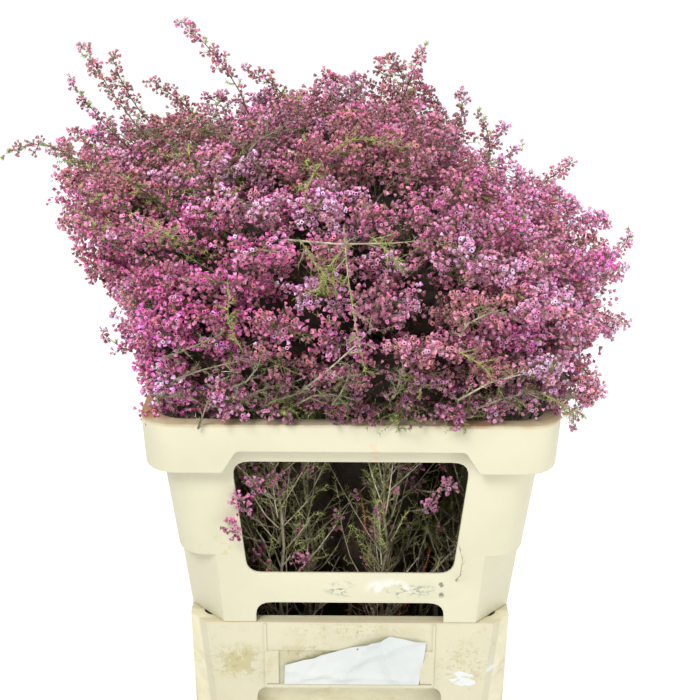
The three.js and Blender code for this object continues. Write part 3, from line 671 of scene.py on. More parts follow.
def make_plant_skins():
    petals = paint_plant("petals", 0.6, 0.14, 300, sheen=0.05)
    depth = petals.node("ShaderNodeAttribute", {"attribute_name": "tint"}, output=3)
    petals.coat((1 - petals.step(depth, 0.02, 0.3)) * 0.18, 250, 204, 216)
    petals.coat(petals.step(depth, 0.4, 0.62), 28, 6, 16)
    needles = paint_plant("needles", 0.5, 0.25, 260)
    bark = paint_plant("bark", 0.85, 0.45, 210)
    bark.bump(bark.noise(330, 3, 0.6), 0.4, 0.0008)
    return [petals.finish(), needles.finish(), bark.finish()]


def set_stage():
    """Camera at the photograph's viewing angle, pale floor, soft light."""
    camera_data = bpy.data.cameras.new("viewer")
    camera_data.sensor_width = 36
    camera_data.lens = LENS
    camera_data.clip_start = 0.05
    camera = bpy.data.objects.new("viewer", camera_data)
    camera.matrix_world = (Matrix.Translation(Vector(CAMERA_PLACE))
                           @ Euler((math.radians(90 - LOOKS_DOWN), 0, 0)).to_matrix().to_4x4()
                           @ Matrix.Rotation(math.radians(CAMERA_ROLL), 4, "Z"))
    bpy.context.collection.objects.link(camera)
    bpy.context.scene.camera = camera

    deselect()
    bpy.ops.mesh.primitive_plane_add(size=40, location=(0, 0, 0))
    floor = bpy.context.object
    floor.name = "studio_floor"
    paint = Paint("floor", Roughness=0.9, Specular_IOR_Level=0.1, Base_Color=(0.5, 0.5, 0.5, 1),
                  Emission_Color=(1, 1, 1, 1), Emission_Strength=0.75)
    floor.data.materials.append(paint.material)

    world = bpy.data.worlds.new("studio")
    world.use_nodes = True
    world.node_tree.nodes["Background"].inputs["Color"].default_value = (1, 1, 1, 1)
    world.node_tree.nodes["Background"].inputs["Strength"].default_value = 0.5
    bpy.context.scene.world = world
    for name, place, aim, size, power in LIGHTS:
        data = bpy.data.lights.new(name, "AREA")
        data.size = size
        data.energy = power
        light = bpy.data.objects.new(name, data)
        light.location = place
        light.rotation_euler = (Vector(aim) - Vector(place)).to_track_quat("-Z", "Y").to_euler()
        bpy.context.collection.objects.link(light)
    bpy.context.scene.view_settings.view_transform = "Standard"
    bpy.context.scene.view_settings.look = "None"


# Container
def cad_object(node):
    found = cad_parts[node]
    return bpy.data.objects[found] if isinstance(found, str) else found


def set_material(piece, material):
    piece.data.materials.clear()
    piece.data.materials.append(material)


def copy_of(node):
    """The CAD node's object, copied with its mesh."""
    piece = cad_object(node).copy()
    piece.data = piece.data.copy()
    bpy.context.collection.objects.link(piece)
    for key in list(piece.keys()):
        del piece[key]
    return piece


def refine(nodes, name, width, material):
    """The CAD nodes as one moulding, with merged doubles and rounded edges."""
    copies = [copy_of(node) for node in nodes]
    deselect()
    for one in copies:
        one.select_set(True)
    piece = copies[0]
    bpy.context.view_layer.objects.active = piece
    if len(copies) > 1:
        bpy.ops.object.join()
    piece.name = name
    mesh = bmesh.new()
    mesh.from_mesh(piece.data)
    bmesh.ops.remove_doubles(mesh, verts=mesh.verts, dist=0.02 * MM)
    if len(copies) > 1:
        # the two halves are welded where the CAD model cuts the moulding
        cut = [f for f in mesh.faces if all(abs(v.co.y) < 0.2 * MM for v in f.verts)]
        bmesh.ops.delete(mesh, geom=cut, context="FACES_ONLY")
        seam = [v for v in mesh.verts if abs(v.co.y) < 0.2 * MM]
        bmesh.ops.remove_doubles(mesh, verts=seam, dist=0.4 * MM)
    bmesh.ops.dissolve_limit(mesh, angle_limit=math.radians(1.5), verts=mesh.verts, edges=mesh.edges)
    bmesh.ops.recalc_face_normals(mesh, faces=mesh.faces)
    mesh.to_mesh(piece.data)
    mesh.free()
    round_edges = piece.modifiers.new("round", "BEVEL")
    round_edges.width = width * MM
    round_edges.segments = 3
    round_edges.limit_method = "ANGLE"
    round_edges.angle_limit = math.radians(35)
    round_edges.use_clamp_overlap = True
    bpy.ops.object.modifier_apply(modifier="round")
    bpy.ops.object.shade_smooth_by_angle(angle=math.radians(32))
    set_material(piece, material)
    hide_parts(*nodes)
    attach(piece, "root")


def make_slip(material):
    """The loose slip as a thin crumpled sheet, cut to its outline."""
    deselect()
    bpy.ops.mesh.primitive_grid_add(x_subdivisions=68, y_subdivisions=28, size=1)
    slip = bpy.context.object
    slip.name = "crumpled_slip"
    slip.scale = (*SLIP_SIZE, 1)
    slip.rotation_euler = (math.radians(90), 0, 0)
    slip.location = SLIP_MIDDLE
    bpy.ops.object.transform_apply(location=True, rotation=True, scale=True)
    bpy.ops.object.mode_set(mode="EDIT")
    for (x0, z0), (x1, z1) in SLIP_SIDES:
        bpy.ops.mesh.select_all(action="SELECT")
        outward = Vector((z1 - z0, 0, x0 - x1)).normalized()
        bpy.ops.mesh.bisect(plane_co=(x0 * MM, -0.2, z0 * MM), plane_no=outward, clear_outer=True)
    bpy.ops.object.mode_set(mode="OBJECT")
    for v in slip.data.vertices:
        x, z = v.co.x / MM, v.co.z / MM
        out = 0.25 * math.sin(x * 0.31) * math.sin(z * 0.27 + 1)  # slightly wavy between its folds
        for (px, pz), (wx, wz), height, width in SLIP_FOLDS:
            away = abs((x - px) * wz - (z - pz) * wx) / math.hypot(wx, wz)
            out += height * 1.3 * max(0.0, 1 - away / width)
        hold = min(1.0, max(0.0, (z - 157) / 8))  # the pocket holds its lower edge
        v.co.y -= (0.1 + max(out, 0) * hold) * MM
    thick = slip.modifiers.new("thick", "SOLIDIFY")
    thick.thickness = SLIP_THICK * MM
    thick.offset = 0
    bpy.ops.object.modifier_apply(modifier="thick")
    bpy.ops.object.shade_smooth_by_angle(angle=math.radians(12))
    slip.data.materials.append(material)
    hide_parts("paper_slip")
    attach(slip, "root")


# Heather
# the last colour is the painted shade of the bush's dark inside
MAGENTA, LILAC, DUSKY, ROSE, BROWNISH, RUST, NEEDLE_GREEN, YOUNG_GREEN, BARK, PALE_BARK, DEEP_SHADE = (
    np.array(srgb(*rgb)) for rgb in (
        (212, 56, 152), (232, 168, 214), (132, 54, 74), (224, 122, 150), (166, 100, 84), (168, 88, 40),
        (98, 104, 60), (182, 194, 104), (124, 108, 84), (202, 192, 164), (52, 42, 34)))
GREY_TWIG = mix(PALE_BARK, NEEDLE_GREEN, 0.4)
PETAL, LEAF, WOOD = 0, 1, 2  # a plant's three materials
GOLDEN_TURN = 2.39996
FLORET = 1.95  # half a floret's width
# Shares of rose, pale, dusky and brown in a raceme: magenta, lilac, dusty, rusty and violet ones
RACEME_TONES = [(0.0, -0.05, -0.15, -0.15), (0.05, 0.5, -0.15, -0.1), (0.25, 0.15, 0.2, 0.1),
                (0.35, -0.05, 0.3, 0.45), (0.0, 0.1, 0.25, -0.1)]
BRANCH_TONES = [(0.15, 0.05, -0.05, 0), (0.1, 0.3, -0.1, 0), (0.3, 0.1, 0.15, 0), (0.0, -0.1, -0.1, 0),
                (0.2, 0.4, 0.0, 0)]
# Sprigs: how thick, their tone, needles along them, how many side twigs, and needles along each of those
SPRIG_KINDS = {"young": (0.8, YOUNG_GREEN, 40, 8, 12), "bare": (1.1, PALE_BARK, 10, 7, 6),
               "twig": (0.9, mix(NEEDLE_GREEN, PALE_BARK, 0.25), 36, 7, 12)}
# Shoots in the window: needles, tone, how thick
WINDOW_KINDS = {"flowering": (22, GREY_TWIG, 0.9), "bare": (8, GREY_TWIG, 0.5), "withered": (26, RUST, 0.7)}


def any_turn(rng, shape=None):
    """Any angle; 6.3 is one full turn."""
    return rng.uniform(0, 6.3, shape)


def drawn(rng, value, shape):
    """A number as it is, or draws from a range."""
    return rng.uniform(*value, shape)[..., None] if isinstance(value, tuple) else value


def curve(start, bend, end, shares):
    """Points on curves, and the ways they run there."""
    s = np.asarray(shares)[None, :, None]
    points = (1 - s) ** 2 * start[:, None] + 2 * s * (1 - s) * bend[:, None] + s * s * end[:, None]
    return points, unit(2 * (1 - s) * (bend - start)[:, None] + 2 * s * (end - bend)[:, None])


def through(points):
    """Start, bend and end of the curve that runs through three points."""
    start, middle, end = (np.array([p], float) for p in points)
    return start, 2 * middle - (start + end) / 2, end


def around(ways, turn):
    u, w = frames_along(ways, np.zeros(ways.shape[:-1]))
    return u * np.cos(turn)[..., None] + w * np.sin(turn)[..., None]


def splay(rng, ways, onward, side=1):
    """Ways that leave the given ones at any side; side and onward are numbers or ranges."""
    shape = ways.shape[:-1]
    side = drawn(rng, side, shape)
    return unit(around(ways, any_turn(rng, shape)) * side + ways * drawn(rng, onward, shape))


def leaf_tones(rng, count, young):
    return mix(NEEDLE_GREEN, YOUNG_GREEN, np.clip(rng.normal(young, 0.3, (count, 1)), 0, 1))


def petal_colour(rng, places, base):
    """A tone for each floret: its twig's own, pale in the middle of the bush and dusky at the top and back.

    base has the shares of rose, pale, dusky and brown, and how much lighter the floret is painted, as painted
    light and shade.
    """
    x, y, z = places[:, 0], places[:, 1], places[:, 2]
    n = len(places)
    pale = np.exp(-((x - 30) ** 2 + (z - 560) ** 2) / 170 ** 2) * 0.2 + rise(x, 60, 180) * 0.15 + base[:, 1]
    pale = pale + rise(x, 100, 160) * (rise(z, 540, 480) * 0.25 + 0.1)
    pale = pale + rise(x, -40, -100) * rise(z, 590, 640) * 0.25 + 0.07
    dusk = rise(z, 600, 710) * 0.3 + rise(y, 20, 170) * 0.25 + base[:, 2]
    pale = np.clip(pale + rng.normal(0, 0.26, n), 0, 1)[:, None]
    dusk = np.clip(dusk + rng.normal(0, 0.15, n), 0, 0.9)[:, None]
    rose = np.clip(base[:, 0] + rise(x, 120, 250) * 0.2 + rng.normal(0, 0.15, n), 0, 0.9)[:, None]
    brown = np.clip(rng.normal(-0.02, 0.4, n) + base[:, 3], 0, 0.95)[:, None]
    tone = mix(mix(MAGENTA, LILAC, pale), ROSE, rose)
    tone = mix(mix(tone, DUSKY, dusk), BROWNISH, brown)
    # painted light and shade: florets are painted brighter low on the left and on the right, darker low in
    # the middle and at the top
    light = 1 + 0.55 * rise(x, -90, -140) * rise(z, 570, 510) + 0.32 * rise(x, 120, 180)
    light = light - 0.54 * rise(z, 530, 480) * np.exp(-((x - 10) / 110) ** 2) - 0.13 * rise(z, 600, 650)
    return np.clip(tone * (light * (1 + base[:, 4]) * rng.uniform(0.5, 1.6, n))[:, None], 0, 1)


def add_florets(heap, rng, feet, ways, sizes, base):
    """Bells, open ones where they face outwards.

    The fourth colour value is 1 in the throat and 0 at the mouth; the material darkens the throat by it.
    """
    feet, ways = feet.reshape(-1, 3), ways.reshape(-1, 3)
    base, sizes = np.broadcast_to(base, (len(feet), 5)), np.broadcast_to(sizes, len(feet))
    outward = unit(feet - np.array([0, 0, 400.0]))
    facing = (ways * outward).sum(axis=1) > 0.5
    for shape, chosen, dark in ((OPEN_BELL, facing, 1.0), (SIDE_BELL, ~facing, 0.0)):
        n = int(chosen.sum())
        if n == 0:
            continue
        # florets that face up are painted lighter and those that face down darker: painted light and shade
        tone = petal_colour(rng, feet[chosen], base[chosen]) * (1 + 0.22 * ways[chosen][:, 2:3])
        tone = np.clip(tone, 0, 1)
        points, _, heights = shape
        throat = (heights > 1.0) & (heights < 1.6)
        colours = np.zeros((n, len(points), 4))
        colours[:, :, :3] = tone[:, None]
        # the foot of each bell: the calyx's brown, darkened partly as painted shade
        calyx_and_shade = mix(BROWNISH * 0.7, tone, 0.25) * rng.uniform(0.5, 1.1, n)[:, None]
        colours[:, heights < 0.5, :3] = calyx_and_shade[:, None]
        colours[:, throat, 3] = rng.uniform(0.85, 1.1, n)[:, None] * dark
        wide = sizes[chosen] * rng.uniform(0.9, 1.15, n)
        scale = np.stack([wide, wide, sizes[chosen] * rng.uniform(0.9, 1.25, n)], axis=1)
        add_shapes(heap, shape, feet[chosen], ways[chosen], scale, any_turn(rng, n), colours, PETAL)


def flower_ends(heap, rng, tips, ways, whorls, onward, gap, stand, base, size=FLORET):
    """Florets in whorls down from the tips of shoots."""
    for k in range(whorls):
        side = splay(rng, ways, onward)
        feet = tips - ways * k * gap + side * drawn(rng, stand, len(ways))
        add_florets(heap, rng, feet, side, size, base)


def add_needles(heap, rng, feet, ways, lengths, tone, thickness=(0.3, 0.42)):
    feet, ways = feet.reshape(-1, 3), ways.reshape(-1, 3)
    n = len(feet)
    lengths = rng.uniform(*lengths, n)
    colours = np.clip(tone * rng.uniform(0.65, 1.35, n)[:, None], 0, 1)[:, None]
    thick = rng.uniform(*thickness, n)
    scale = np.stack([thick, thick, lengths], axis=1)
    add_shapes(heap, NEEDLE, feet, ways, scale, any_turn(rng, n), colours, LEAF)


def leafy_shoots(heap, rng, start, bend, end, needles, tone, thick=0.6):
    """Shoots without flowers, set with needles along their whole length."""
    tone = np.broadcast_to(tone, (len(start), 3))
    wood = mix(BARK, PALE_BARK, rng.uniform(0, 1, (len(start), 1)))
    add_tubes(heap, curve(start, bend, end, [0, 0.35, 0.7, 1])[0], np.array([1.0, 0.8, 0.6, 0.4]) * thick,
              mix(wood, tone, 0.3))
    centre, way = curve(start, bend, end, np.linspace(0.06, 0.99, needles))
    out = splay(rng, way, 0.7, (0.5, 1.1))
    add_needles(heap, rng, centre, out, (4, 6.5), np.repeat(tone, needles, axis=0))


def dress_raceme(heap, rng, axis, side_a, side_b, base, twigs, whorls, size, leafy):
    """axis is a curve of points; side twigs end on the envelope that side_a and side_b span at each height.

    whorls is the number of whorls on each twig, and leafy the share of twigs without flowers.
    """
    steps = len(axis)
    heights = 0.12 + 0.86 * np.linspace(0, 1, twigs) ** 0.75 + rng.uniform(-0.02, 0.02, twigs)
    turn = np.arange(twigs) * GOLDEN_TURN + any_turn(rng) + rng.normal(0, 0.25, twigs)

    def at(values, h):
        f = np.clip(h, 0, 1) * (steps - 1)
        i = np.minimum(f.astype(int), steps - 2)
        return mix(values[i], values[i + 1], (f - i)[:, None])

    foot = at(axis, heights)
    onward = unit(at(axis, heights + 0.04) - at(axis, heights - 0.04))
    reach = (0.45 + 0.75 * rng.uniform(0, 1, twigs) ** 0.8)[:, None]
    across = at(side_a, heights) * np.cos(turn)[:, None] + at(side_b, heights) * np.sin(turn)[:, None]
    across = across * reach
    lift = np.linalg.norm(across, axis=1, keepdims=True) * rng.uniform(0.4, 0.8, twigs)[:, None] + 2
    end = foot + across + onward * lift * (1 - 0.5 * heights[:, None])
    bend = foot + across * 0.55 + onward * lift * 0.2
    wood = mix(mix(BARK, PALE_BARK, rng.uniform()), NEEDLE_GREEN, 0.45)
    add_tubes(heap, curve(foot, bend, end, [0, 0.5, 0.95])[0], (0.55, 0.42, 0.3), wood)
    # florets in small whorls of three, thickest towards the end of each twig, and one at its tip
    bare = rng.uniform(0, 1, twigs) < leafy
    span = np.clip(13 / np.linalg.norm(end - foot, axis=1).mean(), 0.15, 0.75)
    centre, way = (v[~bare] for v in curve(foot, bend, end, np.linspace(1.0, 1 - span, whorls)))
    spin = any_turn(rng, centre.shape[:2])
    feet, ways = [], []
    for k in range(3):
        side = around(way, spin + k * 2 * math.pi / 3 + rng.normal(0, 0.3, spin.shape))
        part = rng.uniform(0.75, 1.25, spin.shape)[..., None]
        out = unit(side * part + way * rng.uniform(0.1, 0.8, spin.shape)[..., None])
        feet.append((centre + out * rng.uniform(0.4, 1.8, spin.shape)[..., None]).reshape(-1, 3))
        ways.append(out.reshape(-1, 3))
    feet.append(centre[:, 0] + way[:, 0] * 1.2)
    ways.append(way[:, 0])
    feet, ways, count = np.concatenate(feet), np.concatenate(ways), len(centre)
    twig_base = base + rng.normal(0, 1, (count, 5)) * (0.1, 0.24, 0.16, 0.3, 0)
    # painted shade and light: flowers deep inside a raceme are painted darker and duskier, the outermost ones
    # paler
    outer = (reach[:, 0] * 0.7 + heights - 1.22)[~bare]
    twig_base[:, 1] += outer * 0.3
    twig_base[:, 2] -= outer * 0.4
    twig_base[:, 4] = outer * 0.55 + 0.16
    rows = np.concatenate([np.repeat(np.arange(count), whorls)] * 3 + [np.arange(count)])
    inner = np.concatenate([np.tile(np.arange(whorls), count)] * 3 + [np.zeros(count)])
    keep = rng.uniform(0, 1, len(feet)) > 0.1
    own = twig_base[rows[keep]]
    # whorls further back from a twig's tip are painted darker: painted shade
    own[:, 4] -= inner[keep] * 0.08
    add_florets(heap, rng, feet[keep], ways[keep], rng.uniform(0.75, 1.15, len(own)) * size, own)
    # needles along the twig, three times as dense on a twig without flowers
    many = np.where(bare)[0]
    rows = np.concatenate([np.arange(twigs), many, many])
    centre, way = curve(foot[rows], bend[rows], end[rows], np.linspace(0.05, 0.98, 8))
    out = splay(rng, way, 0.7, (0.6, 1.2))
    young = np.clip(rng.normal(0.32, 0.33, len(rows)) + bare[rows] * base[4], 0, 1)
    tone = mix(NEEDLE_GREEN, YOUNG_GREEN, np.repeat(young, centre.shape[1])[:, None])
    add_needles(heap, rng, centre, out, (3.0, 5.0), tone)


def raceme_skeleton(raceme, steps=9):
    """The raceme's axis, and the half-widths of its room at each height, as in the part's source."""
    branch = raceme["branch"]
    heights = np.linspace(0, 1, steps)
    middle = raceme_axis(raceme, heights)
    axis = place_in(branch, middle)
    width = np.interp(heights, [0, 0.3, 0.58, 0.82, 1], [0.95, 1.02, 1.0, 0.86, 0.5])
    width = width * (1 - 0.2 * rise(axis[-1][2], 530, 480) * rise(abs(axis[-1][0]), 120, 70))
    sides = []
    for first, second in (((1, 2), (0, 3)), ((2, 3), (0, 1))):
        ends = [raceme["corners"][list(pair)].mean(axis=0) for pair in (first, second)]
        half = (ends[0] - ends[1]) / 2
        shift = np.zeros((steps, 3))
        shift[:, :2] = half[None, :2] * width[:, None]
        sides.append(place_in(branch, middle + shift) - axis)
    return axis, sides[0], sides[1]


def grow_core(heap, rng, branch):
    """The shaded inside of a branch: a rough dark body of painted shade that closes the gaps between its
    racemes.
    """
    depth = 1 - branch["hub"]
    side = 7
    edge = [(i / side, 0) for i in range(side)] + [(1, i / side) for i in range(side)]
    edge += [(1 - i / side, 1) for i in range(side)] + [(0, 1 - i / side) for i in range(side)]
    edge = np.array(edge)
    count = len(edge)
    rings = []
    # how deep each ring lies, its width, and how far its points stray in width and depth
    for low, width, wide, deep in ((0.9, 0.5, 0.014, 0.025), (0.7, 0.96, 0.014, 0.025),
                                   (0.52, 1.06, 0.014, 0.025), (0.42, 0.94, 0.014, 0.025),
                                   (0.35, 0.6, 0.02, 0.035), (0.33, 0.3, 0.02, 0.035)):
        spot = 0.5 + (edge - 0.5) * width + rng.normal(0, wide, edge.shape)
        share = 1 - depth * (low + rng.normal(0, deep, count))
        rings.append(place_in(branch, np.column_stack([spot, share])))
    ends = place_in(branch, np.array([(0.5, 0.5, 1 - depth * 0.95), (0.5, 0.5, 1 - depth * 0.32)]))
    points = np.concatenate([*rings, ends])
    faces = skin(len(rings), count)
    top = (len(rings) - 1) * count
    for i in range(count):
        j = (i + 1) % count
        faces += [(i, len(points) - 2, j), (top + i, top + j, len(points) - 1)]
    shade = DEEP_SHADE * rng.uniform(0.5, 1.4, len(points))[:, None]
    heap.add(points[None], faces, shade[None], WOOD)
    # short leaves and dusky flowers grow all over it, darkened as painted shade
    rows, n, flowers = np.array(rings), 300, 70
    k, i = rng.integers(1, len(rings) - 1, n), rng.integers(0, count, n)
    f, g = rng.uniform(0, 1, (2, n, 1))
    j = (i + 1) % count
    feet = mix(mix(rows[k, i], rows[k, j], g), mix(rows[k + 1, i], rows[k + 1, j], g), f)
    out = unit(unit(feet - place_in(branch, (0.5, 0.5, branch["hub"]))) + rng.normal(0, 0.7, (n, 3)))
    tone = mix(NEEDLE_GREEN, BROWNISH * 0.6, rng.uniform(0, 1, (n, 1))) * 0.9
    add_needles(heap, rng, feet, out, (6, 13), tone, (0.5, 0.9))
    feet, out = feet[:flowers], out[:flowers]
    add_florets(heap, rng, feet + out * 4, out, rng.uniform(1.6, 2.2, flowers), (0.1, 0.0, 0.6, 0.2, 0.0))


def grow_undergrowth(heap, rng, branch):
    """Green, brown and sparsely flowering shoots over the dark core, many of them at the branch's borders."""
    depth = 1 - branch["hub"]
    count = 40 if np.sin(branch["angle"]) < 0.3 or branch["outer"] < 0.2 else 18
    spot = rng.uniform(0.03, 0.97, (count, 2))
    rim = np.arange(0, count, 2)
    spot[rim, rng.integers(0, 2, len(rim))] = rng.choice([0.0, 0.05, 0.95, 1.0], len(rim))
    low = place_in(branch, np.column_stack([spot, np.full(count, 1 - depth * 0.42)]))
    drift = spot + rng.normal(0, 0.09, (count, 2))
    high = place_in(branch, np.column_stack([np.clip(drift, 0.0, 1.0),
                                             1 - depth * rng.uniform(-0.06, 0.16, count)]))
    bend = mix(low, high, 0.5) + rng.normal(0, 4, low.shape)
    tone = leaf_tones(rng, count, 0.25)
    # leaves mixed towards dark brown and darkened: painted shade deep in the bush
    tone = mix(tone, BROWNISH * 0.5, np.clip(rng.normal(0.2, 0.3, (count, 1)), 0, 0.9)) * 0.85
    leafy_shoots(heap, rng, low, bend, high, 18, tone)
    centre, way = curve(low, bend, high, np.linspace(0.5, 1, 12))
    out = splay(rng, way, 0.4)
    feet = centre + out * rng.uniform(0.5, 6, way.shape[:2])[..., None]
    # the flowers away from the branch's borders are dusky: painted shade deep in the bush
    base = np.tile((0.1, 0.0, 0.4, 0.1, 0.0), (count, 1))
    base[rim] = (0.05, 0.1, 0.1, -0.05, 0.0)
    base = np.repeat(base, way.shape[1], axis=0)
    add_florets(heap, rng, feet, out, rng.uniform(1.5, 2.1, len(base)), base)


def grow_sprigs(heap, rng, branch, branches):
    """Long shoots that lie over the flowers, with side twigs; those nearest to this branch."""
    for kind, curves in SPRIGS.items():
        thick, tone, needles, sides, side_needles = SPRIG_KINDS[kind]
        for points in curves:
            if nearest(branches, tip_of, np.array(points[1], float)) is not branch:
                continue
            start, bend, end = through(points)
            inward = unit(np.array([[0, 0, 470.0]]) - start)
            leafy_shoots(heap, rng, start + inward * 26, start + inward * 4, start, 4, tone, thick)
            leafy_shoots(heap, rng, start, bend, end, needles, tone, thick)
            foot, way = (v[0] for v in curve(start, bend, end, np.linspace(0.1, 0.96, sides)))
            tip = foot + splay(rng, way, (0.7, 1.4)) * rng.uniform(8, 18, (sides, 1))
            leafy_shoots(heap, rng, foot, mix(foot, tip, 0.5) + way * 1.5, tip, side_needles,
                         mix(tone, NEEDLE_GREEN, 0.4), 0.5)


def grow_fringe(heap, rng, branch):
    """Leafy shoots that fill the space between the bush and the collar's rim."""
    count = 60
    a, b = rng.uniform(0.35, 1.0, count), rng.uniform(0.02, 0.98, count)
    out, angle = cell_point(branch, a, b)
    start = level_point((164, 214), out, angle, rng.uniform(414, 436, count))
    length = rng.uniform(28, 60, (count, 1))
    outward = unit(start * [1, 1, 0]) * length * rng.uniform(0.3, 0.8, (count, 1))
    end = start + outward + np.array([0, 0, 1]) * length * 0.75
    bend = start + np.array([0, 0, 0.6]) * length
    leafy_shoots(heap, rng, start, bend, end, 20, leaf_tones(rng, count, 0.3))
    chance = np.where(abs(start[:, 0]) < 100, 0.4, 0.75)
    flowering = np.where(rng.uniform(0, 1, count) < chance)[0]
    flower_ends(heap, rng, end[flowering], unit(end - bend)[flowering], 12, (0.2, 1.2), 1.3, 1.2,
                (0.15, 0.35, 0.0, 0.0, 0.0))


def grow_corners(heap, rng, branch, branches):
    """Short flowering shoots that hide the collar's inner corners."""
    for sx, sy in ((-1, -1), (1, -1), (1, 1), (-1, 1)):
        if nearest(branches, tip_of, np.array([sx * 190.0, sy * 210.0, 470.0])) is not branch:
            continue
        count = 34
        start = np.column_stack([sx * rng.uniform(112, 168, count), sy * rng.uniform(150, 208, count),
                                 rng.uniform(424, 440, count)])
        out = np.column_stack([sx * rng.uniform(4, 26, count), sy * rng.uniform(0, 20, count),
                               rng.uniform(8, 44, count)])
        bend, end = start + out * [0.2, 0.2, 0.6], start + out
        leafy_shoots(heap, rng, start, bend, end, 14, leaf_tones(rng, count, 0.2))
        flower_ends(heap, rng, end, unit(out), 14, (0.1, 1.2), 1.3, (1, 5), (0.1, 0.2, 0.0, 0.1, 0.0))


def grow_stray(heap, rng, raceme, base):
    end, onward = raceme_end(raceme)
    tip = raceme["stray"]
    reach = np.linalg.norm(tip - end)
    bend = end + onward * reach * 0.45
    steps = 9
    axis = curve(end[None], bend[None], tip[None], np.linspace(0, 1, steps))[0][0]
    u, w = frames_along(unit(np.gradient(axis, axis=0)), np.zeros(steps))
    width = np.linspace(9, 3.5, steps)[:, None]
    dress_raceme(heap, rng, axis, u * width, w * width, base, max(int(reach / 5), 5), 2, 1.8, 0.25)
    add_tubes(heap, axis[None, ::2], (0.8, 0.7, 0.6, 0.5, 0.3), BARK)


def grow_bloom(branch, branches, materials):
    number = branch["number"]
    rng = np.random.default_rng(400 + number)
    heap = Heap()
    hub = place_in(branch, (0.5, 0.5, branch["hub"]))
    grow_core(heap, rng, branch)
    for raceme in branch["racemes"]:
        axis, side_a, side_b = raceme_skeleton(raceme)
        x, y, z = axis[-1]
        rusty = 0.04 + 0.32 * rise(z, 590, 650)
        chances = [0.3 - rusty / 4, 0.25 - rusty / 4, 0.2, rusty, 0.25 - rusty / 2]
        kind = rng.choice(len(RACEME_TONES), p=chances)
        own = np.array(RACEME_TONES[kind]) + rng.normal(0, 0.08, 4)
        base = np.array([*(np.array(BRANCH_TONES[number % 5]) * 0.6 + own), rng.uniform(0, 0.9)])
        # more twigs without flowers at the upper left and low down
        low = rise(z, 520, 470)
        leafy = 0.03 + 0.42 * rise(x, -90, -150) * rise(z, 590, 640)
        leafy += low * (0.4 * rise(x, -120, -60) + 0.15 * rise(abs(x), 120, 80))
        leafy = float(np.clip(leafy + rng.gamma(1.0, 0.07), 0.02, 0.8))
        twigs = 15 if y > 60 else 23 if abs(x) > 100 else 14 if z < 520 else 20
        dress_raceme(heap, rng, axis, side_a, side_b, base, twigs, 5, FLORET, leafy)
        # the woody axis, and the branch that carries it
        add_tubes(heap, axis[None, ::2], (1.2, 1.0, 0.8, 0.6, 0.4), BARK)
        bend = mix(hub, axis[0], 0.5) + unit(axis[0] - hub) * 4
        carry = curve(hub[None], bend[None], axis[:1], np.linspace(0, 1, 6))[0]
        add_tubes(heap, carry, (1.7, 1.6, 1.5, 1.4, 1.3, 1.2), PALE_BARK * 0.8)
        if raceme["stray"] is not None:
            grow_stray(heap, rng, raceme, base)
    grow_undergrowth(heap, rng, branch)
    grow_sprigs(heap, rng, branch, branches)
    if branch["outer"] == 1:
        grow_fringe(heap, rng, branch)
        grow_corners(heap, rng, branch, branches)
    piece = heap.build(f"heather_spray_{number:02d}", materials)
    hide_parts(f"bloom_{number:02d}")
    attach(piece, "root")


def keep_inside(points):
    """Side shoots stay clear of the collar's walls."""
    room = 1 - 0.1 * (NECK_HEIGHT - points[:, 2:3]) / (NECK_HEIGHT - STEM_STRAIGHT)
    half = np.array([COLLAR_ROOM]) * np.clip(room, 0.7, 1.05)
    return np.clip(points[:, :2], -half, half)


def grow_painted_shade(heap, rng, low, neck):
    """A closed dark body around an inner stem, painted shade for the dark tangle there, which nothing can be
    seen through.
    """
    count, radii = 12, (6, 30, 44, 50, 52, 54, 54, 44, 10)
    rings = []
    for share, radius in zip(np.linspace(0.2, 1.08, len(radii)), radii):
        turn = np.arange(count) / count * 2 * math.pi
        wide = radius * rng.uniform(0.7, 1.2, count)
        middle = mix(low, neck, share)
        rings.append(stack(middle[0] + wide * np.cos(turn), middle[1] + wide * np.sin(turn),
                           middle[2] + rng.uniform(-8, 8, count)))
    points = np.concatenate(rings)
    points[:, :2] = keep_inside(points)
    faces = [tuple(range(count - 1, -1, -1)), tuple(range(len(points) - count, len(points)))]
    shade = DEEP_SHADE * rng.uniform(1.0, 2.6, len(points))[:, None]
    heap.add(points[None], faces + skin(len(rings), count), shade[None], WOOD)


def twig_shoots(heap, rng, start, bend, end, front):
    """Small twigs along each shoot, with needles on them and a floret here and there."""
    foot, way = (v.reshape(-1, 3) for v in curve(start, bend, end, np.linspace(0.25, 0.95, 5)))
    n = len(foot)
    out = splay(rng, way, (0.6, 1.3))
    length = rng.uniform(9, 26, n)[:, None]
    tip = foot + out * length + np.array([0, 0, 0.25]) * length
    tip[:, :2] = keep_inside(tip)
    knee = foot + out * length * 0.5
    add_tubes(heap, curve(foot, knee, tip, [0, 0.5, 1])[0], (0.5, 0.4, 0.3), mix(BARK, PALE_BARK, 0.6))
    centre, ways = curve(foot, knee, tip, np.linspace(0.05, 1, 12 if front else 5))
    needle_way = splay(rng, ways.reshape(-1, 3), 0.8)
    # brown low down in the tub and green above it
    green = mix(NEEDLE_GREEN, YOUNG_GREEN, rng.uniform(0.3, 1.3, len(needle_way))[:, None])
    green = mix(BROWNISH * 0.3, green, rise(centre.reshape(-1, 3)[:, 2:3], 225, 295))
    add_needles(heap, rng, centre, needle_way, (4, 6.5), green)
    # more flowers at the window's left and near its upper right corner
    chance = 0.07 + 0.3 * (tip[:, 0] < -55) * (tip[:, 2] > 310) + 0.3 * (tip[:, 0] > 30) * (tip[:, 2] > 350)
    picked = np.where(rng.uniform(0, 1, n) < chance * rise(tip[:, 2], 240, 280))[0]
    flower_ends(heap, rng, tip[picked], ways[picked, -1], 6, (0.2, 1), 1.4, 1.5,
                (0.1, 0.3, 0.15, 0.1, 0.0), 2.0)


